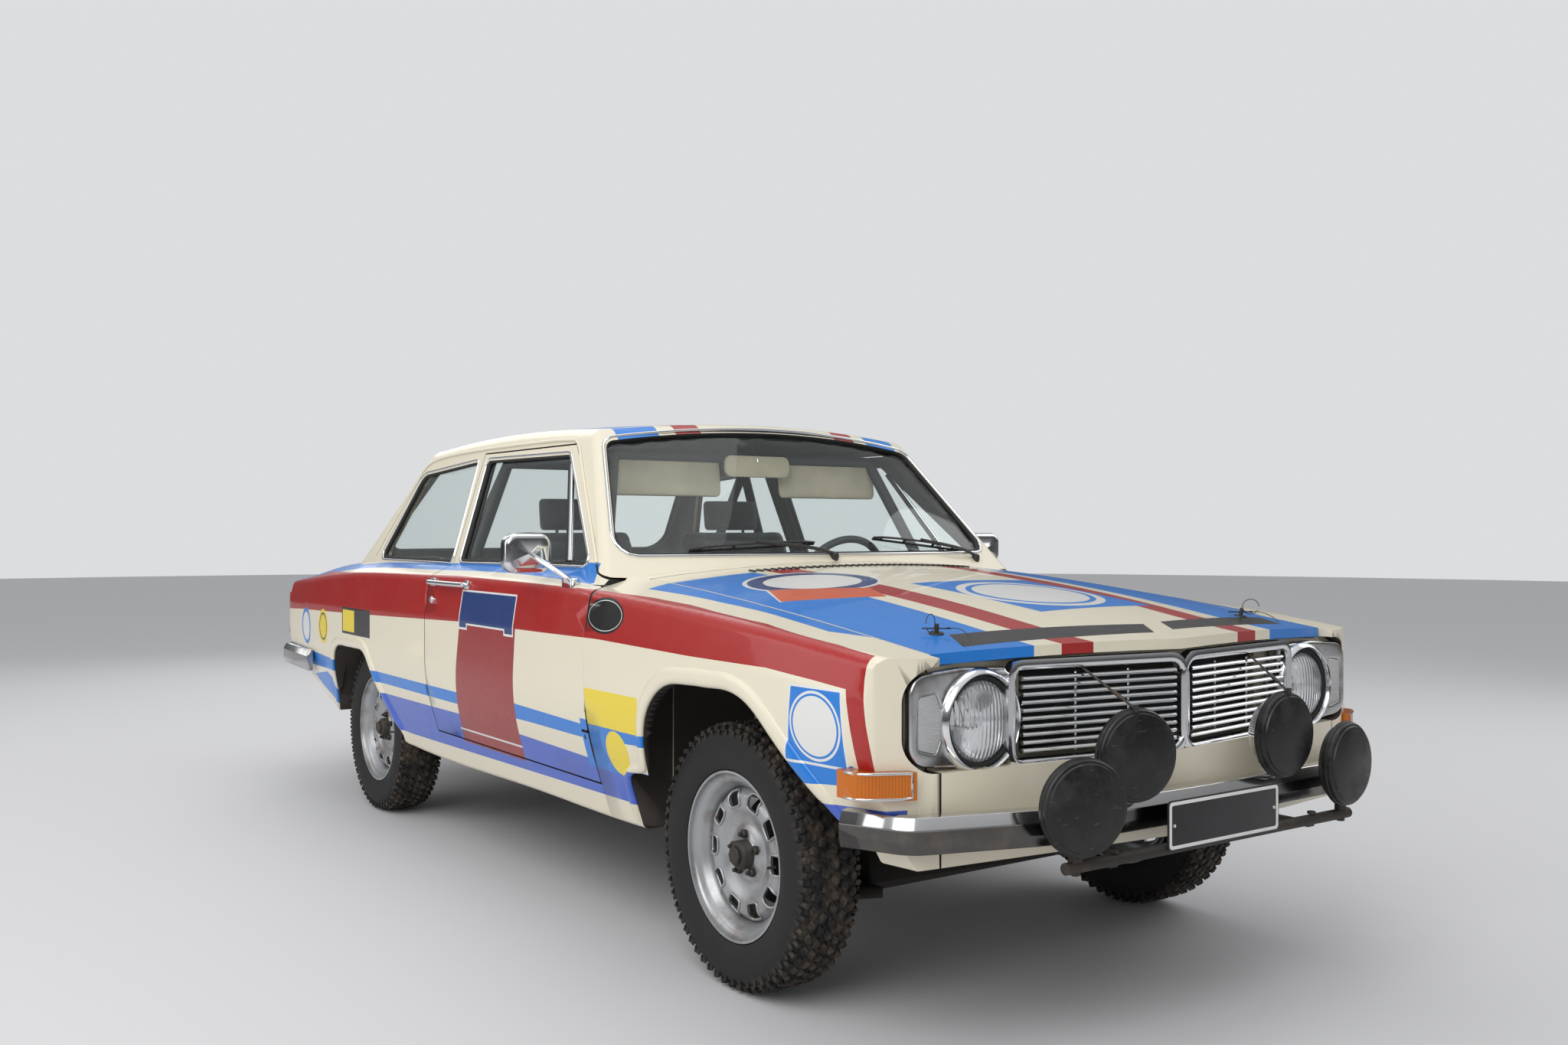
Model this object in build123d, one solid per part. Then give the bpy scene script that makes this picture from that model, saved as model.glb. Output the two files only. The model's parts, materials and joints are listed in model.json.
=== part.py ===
from build123d import *
from collections import namedtuple
import math
import os

os.makedirs("parts", exist_ok=True)

# A two-door rally saloon of about 1970, all sizes in mm.
# Stations X are counted from the front axle, forward positive, Y to the left from the middle
# plane, Z up from the ground. Every finished piece moves by ORIGIN_SHIFT, so that the origin
# is on the ground under the middle of the car.

# Whole car
WHEELBASE = 2620
TRACK = 1388
FRONT_REACH = 885      # front axle to the covers of the lower lamps
REAR_REACH = 3820      # front axle to the face of the rear bumper
ORIGIN_SHIFT = (REAR_REACH - FRONT_REACH) / 2
REAR_AXLE = -WHEELBASE
WHEEL_Y = TRACK / 2

# Walls and gaps
SIDE_WALL = 60         # whole thickness of a door or body side
WING_WALL = 34
LID_SKIN = 24          # bonnet and boot lid with their frames
LEDGE_DEPTH = 30       # from a lid's outside down to the ledge below it
FLOOR_WALL = 28
END_WALL = 30
ROOF_WALL = 34
PANEL_GAP = 5
SEAT_GAP = 0.3         # between pieces that rest on each other but move apart
GLASS_DEPTH = 12       # from the outside of the cabin to the outside of its glass
GLASS = 5

# Wheels and tyres
TYRE_R = 327
TYRE_W = 170
RIM_R = 208
RIM_W = 146
RIM_WALL = 6
RIM_WELL_R = 172
DISC_WALL = 7
HUB_R = 60
STUB_R = 22
STUB_END = 26          # how far the stub axle passes the middle of the wheel
WHEEL_SLOTS = 10
SLOT_RING_R = 137
SLOT_TALL = 38
SLOT_WIDE = 46

# Steering
KINGPIN_Y = 585
STEER_LIMIT = 35

# Body sections at the stations x. The columns are: bottom z, half width at the bottom, widest
# half width and its z, z of the crease, shoulder half width and z, half width and z of the
# edge of the bonnet, window line or boot lid, and z of the middle.
Section = namedtuple("Section", "x zb yb yw zw zc ys zs ye ze zm")
SECTIONS = [
    Section(800, 400, 720, 800, 600, 770, 782, 848, 690, 846, 870),
    Section(400, 400, 770, 860, 600, 795, 842, 889, 690, 897, 928),
    Section(0, 350, 782, 866, 600, 816, 846, 922, 690, 943, 982),
    Section(-500, 318, 780, 867, 598, 828, 846, 951, 710, 983, 1024),
    Section(-1100, 316, 780, 867, 595, 830, 846, 967, 762, 1002, 1052),
    Section(-1850, 305, 780, 867, 592, 827, 846, 961, 764, 1000, 1052),
    Section(-2600, 325, 780, 866, 590, 815, 844, 949, 752, 995, 1036),
    Section(-3150, 345, 772, 852, 590, 807, 830, 916, 735, 962, 992),
    Section(-3500, 360, 750, 832, 590, 803, 806, 893, 715, 925, 946),
    Section(-3850, 370, 720, 800, 590, 800, 772, 868, 690, 890, 906),
]
SIDE_ARC = 700
CREASE_ARC = 160
SHOULDER_ARC = 36
SILL_ARC = 22

# Plan of the body's ends, right half, as x, y
NOSE_PLAN = [(758, 0), (672, 742), (600, 880)]
NOSE_ARCS = [55, 110]
TAIL_PLAN = [(-3600, 880), (-3762, 770), (-3790, 0)]
TAIL_ARCS = [150, 60]

# Cabin above the window line, at two heights: x of the front corner and of the middle of the
# windscreen, y of the front corner, x of the rear corner and of the middle of the rear
# window, y of the rear corner
Ring = namedtuple("Ring", "z xf xfm yf xr xrm yr")
RING_LOW = Ring(980, -622, -530, 790, -2885, -3005, 752)
RING_TOP = Ring(1400, -985, -905, 634, -2405, -2500, 630)
ROOF_TOP_X = -1620
ROOF_TOP_Z = 1493
ROOF_ACROSS_R = 5000
ROOF_ALONG_R = 10000
ROOF_EDGE_R = 55
PILLAR_R = 35

# Openings in the side, as x, z corners with their radii
DOOR_TOP = 1394
DOOR_FRONT = -602
DOOR_REAR = -1820
DOOR_REAR_TOP = -1842
DOOR_BOTTOM = 420
BELT = 940             # the shoulder, above which the door's rear edge slopes in
WINDOW_LINE = 1010
WING_REAR = -597
SPLASH_X = -444        # wall of the wing behind the front wheel
WING_HOLLOW_SIDE = [(WING_REAR + WING_WALL, 0), (WING_REAR + WING_WALL, 880), (0, 860), (570, 800), (570, 0)]
WING_HOLLOW_PLAN = [(-1000, -600), (-1000, -832), (0, -832), (400, -824), (600, -766), (600, -600)]
DOOR_OUTLINE = [(DOOR_FRONT, DOOR_BOTTOM), (DOOR_FRONT, 978), (-686, 1000), (-1106, DOOR_TOP)]
DOOR_WINDOW = [(-752, 1020), (-1136, 1364), (-1800, 1370), (-1764, 1010)]
DOOR_WINDOW_R = [12, 22, 18, 12]
QUARTER_WINDOW = [(-1844, 1006), (-1890, 1370), (-2418, 1336), (-2640, 1006)]
QUARTER_WINDOW_R = [12, 18, 85, 25]
FRONT_ARCH = [(-340, 180), (-262, 742), (200, 757), (602, 400), (640, 180)]
FRONT_ARCH_R = [0, 190, 240, 60, 0]
REAR_ARCH = [(-2250, 180), (-2280, 380), (-2470, 655), (-2870, 652), (-2965, 450), (-3075, 330), (-3085, 180)]
REAR_ARCH_R = [0, 60, 110, 110, 60, 0, 0]

# Screens in the front view, as y, z corners of the right half
SCREEN = [(728, 1046), (603, 1400)]
SCREEN_TOP_MIDDLE = 1446
SCREEN_R = 45
BACKLIGHT = [(672, 1030), (560, 1380)]
BACKLIGHT_TOP_MIDDLE = 1418
BACKLIGHT_R = 60

# Door hinge
HINGE_X = -625
HINGE_Y = 845
HINGE_NOSE_R = 29      # front edge of the door, round the hinge
HINGE_PIN_R = 6
HINGE_ARM_TALL = 28
HINGE_HEIGHTS = [580, 800]
HINGE_PIN_LONG = 76
JAMB_Y = 800           # outer face of the post that carries the hinges

# Bonnet and boot lid
BONNET_Y = 688
BONNET_REAR = -535
BONNET_TIP = 742
BONNET_CORNER = 640
BOOT_Y = 610
BOOT_FRONT = -3062
BOOT_BOTTOM = 648
BUFFER = 40            # length of a rubber stop under the bonnet
BUFFER_STATIONS = [-470, 480]

# Cabin, engine bay and boot
FLOOR_Z = 412
UNDER_FLOOR = 384
SILL_IN = 712          # inner face of the sills and of the skirts behind the rear wheels
KICK_Z = 600
AXLE_ROOF = 572
KICK_X = -2215
TUNNEL_Y = 130
TUNNEL_Z = 520
FIREWALL = -500
PILLAR_Y = 735
BAY_REAR = -455
BAY_FRONT = 600
BAY_Y = 395
BAY_SIDE = 650
BAY_SHELF = 790
WHEELHOUSE_Y = 428
WHEELHOUSE_OUT = 800
REAR_HOUSE_Y = 575
REAR_HOUSE_R = 376
BULKHEAD = -2640
SHELF_Z = 975
BOOT_WALL = -3700
BOOT_GUTTER = 838
BOOT_BUFFERS = [-3180, -3560]
GUTTER = 26            # width of the ledge round the boot's opening
BOOT_FLOOR = 534
TAIL_UNDER = 505
NOSE_UNDER = 425
NOSE_CUT = 545
COVER_HALF = 410
COVER_TOP = 738
COWL_X = -600
COWL_LOW = 880
POST_DEEP = 40

# Nose
PANEL_FACE = 632
RECESS_Y = 776
RECESS_LOW = 622
RECESS_TOP = 843
RECESS_R = 74
RADIATOR_Y = 420
GRILLE_TIP = 755
GRILLE_END = 690
GRILLE_Y = 466
GRILLE_LOW = 633
GRILLE_HIGH = 822
GRILLE_FRAME = 15
GRILLE_BARS = 9
GRILLE_BAR = 5
GRILLE_STAYS = [160, 310]
BEZEL_OUT = 764
BEZEL_LOW = 626
BEZEL_HIGH = 836
BEZEL_DEEP = 48
LAMP_Y = 571
LAMP_Z = 720
LAMP_HOLE_R = 99
LENS_R = 88
LENS_X = 640
SIGNAL_REAR = 561
SIGNAL_Y = 872
SIGNAL_IN = 761
SIGNAL_LOW = 575
SIGNAL_HIGH = 633
SIGNAL_PROUD = 16
TAIL_LAMP_X = -3640
TAIL_LAMP_OUT = 800
TAIL_LAMP_IN = 650
TAIL_LAMP_LOW = 640
TAIL_LAMP_HIGH = 835
TAIL_LAMP_PROUD = 14
BUMPER_FACE = 820
BUMPER_LOW = 468
REAR_BUMPER_LOW = 508
STAY_Y = 350

# Driving lamps and plates
LAMP_CAP_R = 104
LOWER_LAMP_TURNS = {-1: 14, 1: 5}      # degrees that the right and the left lamp look outwards
UPPER_LAMP_TURNS = {-1: 12, 1: 0}
LOWER_LAMP_Y = 469
LOWER_LAMP_Z = 556
UPPER_LAMP_X = 850
UPPER_LAMP_Y = 266
UPPER_LAMP_Z = 640
BAR_X = 846
BAR_Z = 430
BAR_R = 13
BAR_END = 505
PLATE_X = BAR_X + BAR_R + SEAT_GAP
PLATE_LOW = 427

# Cabin fittings and running gear
DRIVER_Y = 350
COLUMN_TILT = math.radians(22)
COLUMN_LONG = 150
HAND_WHEEL_R = 185
CAGE_R = 19
CROSS_TOP = 300
BALL_R = 9
BRAKE_Y = 622
BRAKE_R = 132
BRAKE_W = 22
PIPE_Z = 300
MUFFLER_R = 46
MIRROR_FOOT_X = -766
MIRROR_X = -890
MIRROR_Y = 905
MIRROR_Z = 1057
MIRROR_DEEP = 42
MIRROR_WIDE = 146
MIRROR_TALL = 114
PIPE_R = 24


def move(solid, x=0, y=0, z=0):
    return Pos(x, y, z) * solid


def block(x0, x1, y0, y1, z0, z1):
    """A box from its lowest and highest corners."""
    size = Box(x1 - x0, y1 - y0, z1 - z0)
    return move(size, (x0 + x1) / 2, (y0 + y1) / 2, (z0 + z1) / 2)


def both(solid):
    """A piece and its mirror image on the other side of the car."""
    return [solid, mirror(solid, about=Plane.XZ)]


def pair(solid):
    return Compound(children=both(solid))


def biggest(solid):
    """Drops the loose crumbs that crossing cuts leave beside the main body."""
    return max(solid.solids(), key=lambda each: each.volume)


def closed(points, radii=0):
    return make_face(FilletPolyline(*points, radius=radii, close=True))


def side_slab(points, radii, y0, y1):
    """A side outline of x, z corners, drawn out from y0 to y1."""
    plane = Plane(origin=(0, y0, 0), x_dir=(1, 0, 0), z_dir=(0, -1, 0))
    return extrude(plane * closed(points, radii), amount=y1 - y0, dir=(0, 1, 0))


def plan_slab(face, z0, z1):
    return extrude(Plane.XY.offset(z0) * face, amount=z1 - z0, dir=(0, 0, 1))


def tube(x, y, z, radius, length, axis):
    """A round bar that starts at a point and runs along an axis."""
    plane = Plane(origin=(x, y, z), z_dir=axis)
    return extrude(plane * Circle(radius), amount=length)


def bar(a, b, radius):
    """A round bar from point a to point b."""
    run = Vector(*b) - Vector(*a)
    return tube(*a, radius, run.length, run.normalized())


def turned(points, centre, axis):
    """A profile of radius, height corners turned about an axis through a centre."""
    ring = revolve(Plane.XZ * make_face(Polyline(*points, close=True)), Axis.Z, 360)
    return Plane(origin=centre, z_dir=axis) * ring


# Outer and inner forms of the body

def section_wire(s, side, top):
    """The section s drawn in by side and down by top."""
    yb, yw, ys, ye = s.yb - side, s.yw - side, s.ys - side, min(s.ye, s.ys - side - 20)
    right = [(yb, s.zb), (yw, s.zw), (yw, s.zc), (ys, s.zs - top), (ye, s.ze - top)]
    left = [(-y, z) for y, z in reversed(right)]
    shrink = 1 + (side + top) / 20
    arcs = [SHOULDER_ARC / shrink, CREASE_ARC / shrink, SIDE_ARC, SILL_ARC]
    sides = FilletPolyline(*left, *right, radius=arcs + arcs[::-1])
    over = ThreePointArc((ye, s.ze - top), (0, s.zm - top), (-ye, s.ze - top))
    plane = Plane(origin=(s.x, 0, 0), x_dir=(0, 1, 0), z_dir=(1, 0, 0))
    return (plane * make_face([*sides.edges(), over])).wires()[0]


def plan_face(ends):
    """The plan of the body with its two ends drawn in."""
    right = [(x - ends, y - ends * (y > 0)) for x, y in NOSE_PLAN]
    right += [(x + ends, y - ends * (y > 0)) for x, y in TAIL_PLAN]
    left = [(x, -y) for x, y in right[-2:0:-1]]
    arcs = NOSE_ARCS + TAIL_ARCS
    return closed(right + left, [0, *arcs, 0, *arcs[::-1]])


def form(side=0, top=0, ends=0):
    wires = [section_wire(s, side, top) for s in SECTIONS]
    lofted = Solid.make_loft(wires)
    return lofted & plan_slab(plan_face(ends), 300, 1200)


def ring_face(ring, inset):
    front = ring.xf - inset
    rear = ring.xr + inset
    right = [(front, ring.yf - inset), (rear, ring.yr - inset)]
    nose = ThreePointArc((front, -right[0][1]), (ring.xfm - inset, 0), right[0])
    back = ThreePointArc(right[1], (ring.xrm + inset, 0), (rear, -right[1][1]))
    far = Line((rear, -right[1][1]), (front, -right[0][1]))
    return make_face([nose, Line(*right), back, far])


def ring_at(z):
    t = (z - RING_LOW.z) / (RING_TOP.z - RING_LOW.z)
    low = RING_LOW._asdict()
    top = RING_TOP._asdict()
    return Ring(**{k: low[k] + t * (top[k] - low[k]) for k in low})


def cabin(inset, low=900):
    """The cabin above the window line, drawn in by inset."""
    high = ROOF_TOP_Z + 40
    faces = [Plane.XY.offset(z) * ring_face(ring_at(z), inset) for z in (low, high)]
    sides = loft(faces, ruled=True)
    corners = [e for e in sides.edges() if abs(e.length) > 500 and abs((e % 0.5).Z) > 0.4]
    sides = fillet(corners, max(PILLAR_R - inset / 2, 12))
    drop = ROOF_TOP_Z - inset
    crown = ThreePointArc((-900, roof_drop(900)), (0, 0), (900, roof_drop(900)))
    floor = Polyline((900, roof_drop(900)), (900, -700), (-900, -700), (-900, roof_drop(900)))
    plane = Plane(origin=(ROOF_TOP_X, 0, drop), x_dir=(0, 1, 0), z_dir=(1, 0, 0))
    axis = Axis((ROOF_TOP_X, 0, drop - ROOF_ALONG_R), (0, 1, 0))
    half = revolve(plane * make_face([crown, *floor.edges()]), axis, 12)
    other = revolve(plane * make_face([crown, *floor.edges()]), axis, -12)
    body = sides & (half + other)
    rim = [e for e in body.edges() if e.bounding_box().min.Z > 1330 and e.length > 100]
    return fillet(rim, max(ROOF_EDGE_R - inset, 15))


def roof_drop(y):
    """How far the roof has dropped at y from the middle, as a negative height."""
    return math.sqrt(ROOF_ACROSS_R ** 2 - y ** 2) - ROOF_ACROSS_R


def screen_outline(corners, middle, radius, grow=0):
    """A screen's outline in the front view, with an arched top."""
    (yb, zb), (yt, zt) = corners
    yb, yt, zb = yb + grow, yt + grow, zb - grow
    low = Line((-yb, zb), (yb, zb))
    top = ThreePointArc((yt, zt + grow), (0, middle + grow), (-yt, zt + grow))
    flat = make_face([low, Line((yb, zb), (yt, zt + grow)), top, Line((-yt, zt + grow), (-yb, zb))])
    return fillet(flat.vertices(), radius)


def screen_slab(corners, middle, radius, x0, x1):
    plane = Plane(origin=(x0, 0, 0), x_dir=(0, 1, 0), z_dir=(1, 0, 0))
    return extrude(plane * screen_outline(corners, middle, radius), amount=x1 - x0, dir=(1, 0, 0))


outer = form()
inner = form(SIDE_WALL, LID_SKIN, END_WALL)
under_lids = form(20, LEDGE_DEPTH, -20)
under_skin = form(20, LID_SKIN, -20)
pad_top = form(20, LID_SKIN + SEAT_GAP, -20)
boot_inside = form(SIDE_WALL, LEDGE_DEPTH + 2, END_WALL + 6)
house = cabin(0)
house_inside = cabin(ROOF_WALL)
glass_form = cabin(GLASS_DEPTH) - cabin(GLASS_DEPTH + GLASS)
under_tail = side_slab([(-2840, 0), (-2852, 364), (-3250, TAIL_UNDER), (-3950, TAIL_UNDER), (-3950, 0)],
                       0, -SILL_IN, SILL_IN)
under_tail += side_slab([(-2840, 0), (-2840, 346), (-3070, 352), (-3370, 468), (-3430, TAIL_UNDER),
                         (-3950, TAIL_UNDER), (-3950, 0)], 0, -1000, 1000)
under_floor = block(-2260, -380, -SILL_IN, SILL_IN, 0, UNDER_FLOOR)
under_nose = block(NOSE_CUT, 1000, -1000, 1000, 0, NOSE_UNDER)
cabin_top = house_inside & (block(BULKHEAD, 0, -1000, 1000, BELT - 10, 1600)
                            + block(-3100, 0, -1000, 1000, SHELF_Z, 1600))


# Doors

def door_sweep(gap):
    """What the rear edge of the right door sweeps round its hinge, up the slope of the pillar."""
    r_belt = HINGE_X - DOOR_REAR
    r_low = math.hypot(r_belt, HINGE_Y - ring_at(WINDOW_LINE).yf)
    r_top = math.hypot(HINGE_X - DOOR_REAR_TOP, HINGE_Y - ring_at(DOOR_TOP).yf)
    rising = [(r_belt, BELT), (r_low, WINDOW_LINE), (r_top, DOOR_TOP), (r_top, ROOF_TOP_Z)]
    rising = [(r + gap, z) for r, z in rising]
    profile = [(0, 300), (r_belt + gap, 300), *rising, (0, ROOF_TOP_Z)]
    return turned(profile, (HINGE_X, -HINGE_Y, 0), (0, 0, 1))


def door_room(gap):
    """The space of the right door, wider all round by the gap."""
    far = DOOR_REAR - 400
    (x0, z0), (x1, z1), (x2, z2), (x3, z3) = DOOR_OUTLINE
    front = [(x0 + gap, z0 - gap), (x1 + gap, z1 + gap), (x2 + gap, z2 + gap), (x3 + gap, z3 + gap)]
    slab = side_slab([*front, (far, z3 + gap), (far, z0 - gap)], 0, -1000, -400)
    nose = tube(HINGE_X, -HINGE_Y, z0 - gap, HINGE_NOSE_R + gap, BELT + 60 - z0, (0, 0, 1))
    post = block(HINGE_X - POST_DEEP - PANEL_GAP + gap, 0, -JAMB_Y - PANEL_GAP + gap, 0, 0, BELT + 30)
    turn_r = HINGE_Y - JAMB_Y - PANEL_GAP
    corner = block(HINGE_X, 0, -HINGE_Y, -400, 0, 2000) - tube(HINGE_X, -HINGE_Y, 0, turn_r, 2000, (0, 0, 1))
    if gap:
        return (slab & door_sweep(gap)) + (nose & block(HINGE_X, 0, -1000, -HINGE_Y + 30, 0, 2000)) - post
    return (slab & door_sweep(0)) - (block(HINGE_X, 0, -1000, -HINGE_Y, 0, 2000) - nose) - post - corner


def hinge_room(solid):
    """Cuts the pocket and the pin's bore of each hinge out of the right door."""
    for z in HINGE_HEIGHTS:
        tall = HINGE_ARM_TALL / 2 + PANEL_GAP
        solid -= block(HINGE_X - 14, 0, -HINGE_Y - 9, -400, z - tall, z + tall)
        solid -= tube(HINGE_X, -HINGE_Y, z - HINGE_PIN_LONG / 2, HINGE_PIN_R + SEAT_GAP, HINGE_PIN_LONG, (0, 0, 1))
    return solid


right_window = side_slab(DOOR_WINDOW, DOOR_WINDOW_R, -1000, -400)
right_quarter = side_slab(QUARTER_WINDOW, QUARTER_WINDOW_R, -1000, -400)
door_walls = (outer - inner - cabin_top) + (house - house_inside - outer)
door_right = hinge_room((door_walls & door_room(0)) - right_window)
door_space = door_room(PANEL_GAP)
hinge_arms = []
for z in HINGE_HEIGHTS:
    low = z - HINGE_ARM_TALL / 2
    arm = block(HINGE_X - 9, HINGE_X + 9, -HINGE_Y, -JAMB_Y + 1, low, low + HINGE_ARM_TALL)
    arm += tube(HINGE_X, -HINGE_Y, low, 9, HINGE_ARM_TALL, (0, 0, 1))
    pin = tube(HINGE_X, -HINGE_Y, z - HINGE_PIN_LONG / 2 + 1, HINGE_PIN_R, HINGE_PIN_LONG - 2, (0, 0, 1))
    hinge_arms.append(arm + pin)


# Lids, wings and the main shell

bonnet_plan = [(BONNET_REAR, -BONNET_Y), (BONNET_CORNER, -BONNET_Y), (BONNET_TIP, 0),
               (BONNET_CORNER, BONNET_Y), (BONNET_REAR, BONNET_Y)]
bonnet_hole = [(BONNET_REAR - PANEL_GAP, -BONNET_Y - PANEL_GAP), (1000, -BONNET_Y - PANEL_GAP),
               (1000, BONNET_Y + PANEL_GAP), (BONNET_REAR - PANEL_GAP, BONNET_Y + PANEL_GAP)]
bonnet = (outer & plan_slab(closed(bonnet_plan), 600, 1200)) - under_skin
bonnet_space = plan_slab(closed(bonnet_hole), 700, 1200) - under_lids
boot_lid = (outer - inner) & block(-4000, BOOT_FRONT, -BOOT_Y, BOOT_Y, BOOT_BOTTOM, 1200)
boot_space = block(-4000, BOOT_FRONT + PANEL_GAP, -BOOT_Y - PANEL_GAP, BOOT_Y + PANEL_GAP,
                   BOOT_BOTTOM - PANEL_GAP, 1200) - boot_inside

wing_region = block(WING_REAR, 1000, -1000, -BONNET_Y - PANEL_GAP, 0, 1200)
front_arch = side_slab(FRONT_ARCH, FRONT_ARCH_R, -1000, -WHEELHOUSE_Y)
front_house = block(-405, 500, -WHEELHOUSE_OUT, -WHEELHOUSE_Y, 0, 765)
lamp_recess = screen_slab([(RECESS_Y, RECESS_LOW), (RECESS_Y, RECESS_TOP)], RECESS_TOP + 0.5, RECESS_R, PANEL_FACE, 1000)
wing_hollow = side_slab(WING_HOLLOW_SIDE, 0, -1000, 0) & plan_slab(closed(WING_HOLLOW_PLAN), 0, 1200)
skirt = SECTIONS[3]
low_wall = closed([(-1000, 0), (WING_WALL - skirt.yb, 0), (WING_WALL - skirt.yb, skirt.zb),
                   (WING_WALL - skirt.yw, skirt.zw), (-1000, skirt.zw)])
wing_hollow -= extrude(Plane(origin=(WING_REAR, 0, 0), x_dir=(0, 1, 0), z_dir=(1, 0, 0)) * low_wall,
                       amount=SPLASH_X + WING_WALL - WING_REAR, dir=(1, 0, 0))
wing_hollow -= block(SPLASH_X, SPLASH_X + WING_WALL, -1000, 0, 0, 1200)
wing_right = (outer & wing_region) - wing_hollow - front_arch - under_nose - door_space - lamp_recess
wings = pair(wing_right)

rear_arch = side_slab(REAR_ARCH, REAR_ARCH_R, -1000, -REAR_HOUSE_Y)
rear_house = tube(REAR_AXLE, -WHEELHOUSE_OUT, TYRE_R, REAR_HOUSE_R, WHEELHOUSE_OUT - REAR_HOUSE_Y, (0, 1, 0))
rear_house += block(REAR_AXLE - REAR_HOUSE_R, REAR_AXLE + REAR_HOUSE_R, -WHEELHOUSE_OUT, -REAR_HOUSE_Y, 0, TYRE_R)
house_cover = block(REAR_AXLE - COVER_HALF, REAR_AXLE + COVER_HALF, -1000, -REAR_HOUSE_Y + END_WALL, 0, COVER_TOP)
house_covers = house_cover + mirror(house_cover, about=Plane.XZ)
front_posts = block(FIREWALL - 160, FIREWALL, -1000, -PILLAR_Y, 0, 1200)
front_posts += mirror(front_posts, about=Plane.XZ)

cabin_low = inner & block(BULKHEAD, FIREWALL, -1000, 1000, FLOOR_Z, 1200)
cabin_low = cabin_low - block(BULKHEAD, KICK_X, -1000, 1000, 0, KICK_Z) - house_covers - front_posts
cabin_low -= block(BULKHEAD, FIREWALL, -TUNNEL_Y, TUNNEL_Y, 0, TUNNEL_Z)
cabin_low -= block(COWL_X, 0, -1000, 1000, COWL_LOW, 1200)
bay = block(BAY_REAR, BAY_FRONT, -BAY_Y, BAY_Y, 200, 1200)
bay += block(BAY_REAR, BAY_FRONT, -BAY_SIDE, BAY_SIDE, BAY_SHELF, 1200)
boot_room = block(BOOT_WALL, BULKHEAD - FLOOR_WALL, -1000, 1000, BOOT_FLOOR, BOOT_GUTTER)
boot_room += block(-4000, BOOT_FRONT - GUTTER, -BOOT_Y + GUTTER, BOOT_Y - GUTTER, BOOT_BOTTOM + GUTTER, 1200)
boot_room = (inner & boot_room) - house_covers - block(REAR_AXLE - 330, 0, -1000, 1000, 0, KICK_Z)
axle_room = side_slab([(-2210, 0), (-2280, AXLE_ROOF), (-2950, AXLE_ROOF), (-2950, 0)], [0, 60, 60, 0],
                      -REAR_HOUSE_Y, REAR_HOUSE_Y)
tunnel = block(-2300, -300, -TUNNEL_Y + 40, TUNNEL_Y - 40, 0, TUNNEL_Z - 40)

shell = outer - cabin_low - cabin_top - bay - boot_room - bonnet_space - boot_space
shell = shell - block(BAY_FRONT, 1000, -1000, 1000, 0, 1200) - axle_room - tunnel - under_tail - under_floor
for cut in (wing_region, front_arch, front_house, rear_arch, rear_house, door_space):
    shell = shell - cut - mirror(cut, about=Plane.XZ)
for x in BUFFER_STATIONS:
    pads = pad_top & block(x, x + BUFFER, -BONNET_Y + 8, -BAY_SIDE - 2, 780, 1200)
    shell = shell + pads + mirror(pads, about=Plane.XZ)
for piece in hinge_arms:
    shell = shell + piece + mirror(piece, about=Plane.XZ)
for x in BOOT_BUFFERS:
    pads = pad_top & block(x, x + BUFFER, -BOOT_Y + 4, -BOOT_Y + GUTTER + 2, BOOT_GUTTER, 1200)
    shell = shell + pads + mirror(pads, about=Plane.XZ)
shell = biggest(shell)

roof = house - house_inside - outer
screens = screen_slab(SCREEN, SCREEN_TOP_MIDDLE, SCREEN_R, -1200, -400)
backlight = screen_slab(BACKLIGHT, BACKLIGHT_TOP_MIDDLE, BACKLIGHT_R, -3200, -2300)
roof = roof - screens - backlight
for cut in (right_quarter, door_space):
    roof = roof - cut - mirror(cut, about=Plane.XZ)
roof = biggest(roof)
windscreen = glass_form & screens
rear_window = glass_form & backlight
door_glass = glass_form & right_window
quarter_glass = pair(glass_form & right_quarter)


# Nose

nose_panel = (outer & block(BAY_FRONT, 1000, -BONNET_Y, BONNET_Y, NOSE_UNDER, 1200)) - bonnet_space - lamp_recess
nose_panel -= block(PANEL_FACE, 1000, -BONNET_Y, BONNET_Y, RECESS_TOP - 8, 1200)
nose_panel -= block(BAY_FRONT + END_WALL, 1000, -BONNET_Y, BONNET_Y, 0, 1200) & form(60, 30, 30) & block(0, 1000, -1000, 1000, NOSE_UNDER + 20, RECESS_LOW - 20)
nose_panel -= block(0, 1000, -RADIATOR_Y, RADIATOR_Y, RECESS_LOW + 14, RECESS_TOP - 26)
for y in (-LAMP_Y, LAMP_Y):
    nose_panel -= tube(0, y, LAMP_Z, LAMP_HOLE_R, 1000, (1, 0, 0))


def v_line(y, back=0):
    """Where the grille's front plane lies at y from the middle."""
    return GRILLE_TIP - back - (GRILLE_TIP - GRILLE_END) * abs(y) / GRILLE_Y


def v_slab(front, rear):
    """The space between the grille's plane set back by front and the same set back by rear, right half."""
    outline = [(v_line(0, front), 0), (v_line(GRILLE_Y, front), -GRILLE_Y)]
    if rear is None:
        outline += [(PANEL_FACE, -GRILLE_Y), (PANEL_FACE, 0)]
    else:
        outline += [(v_line(GRILLE_Y, rear), -GRILLE_Y), (v_line(0, rear), 0)]
    return plan_slab(closed(outline), 500, 1000)


def grille_ring(inset):
    high = GRILLE_HIGH - inset
    low = GRILLE_LOW + inset
    corners = [(-GRILLE_Y + inset, low), (-inset - 1, low), (-inset - 1, high), (-GRILLE_Y + inset, high)]
    plane = Plane(origin=(500, 0, 0), x_dir=(0, 1, 0), z_dir=(1, 0, 0))
    return extrude(plane * closed(corners, max(34 - inset, 8)), amount=500, dir=(1, 0, 0))


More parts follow.
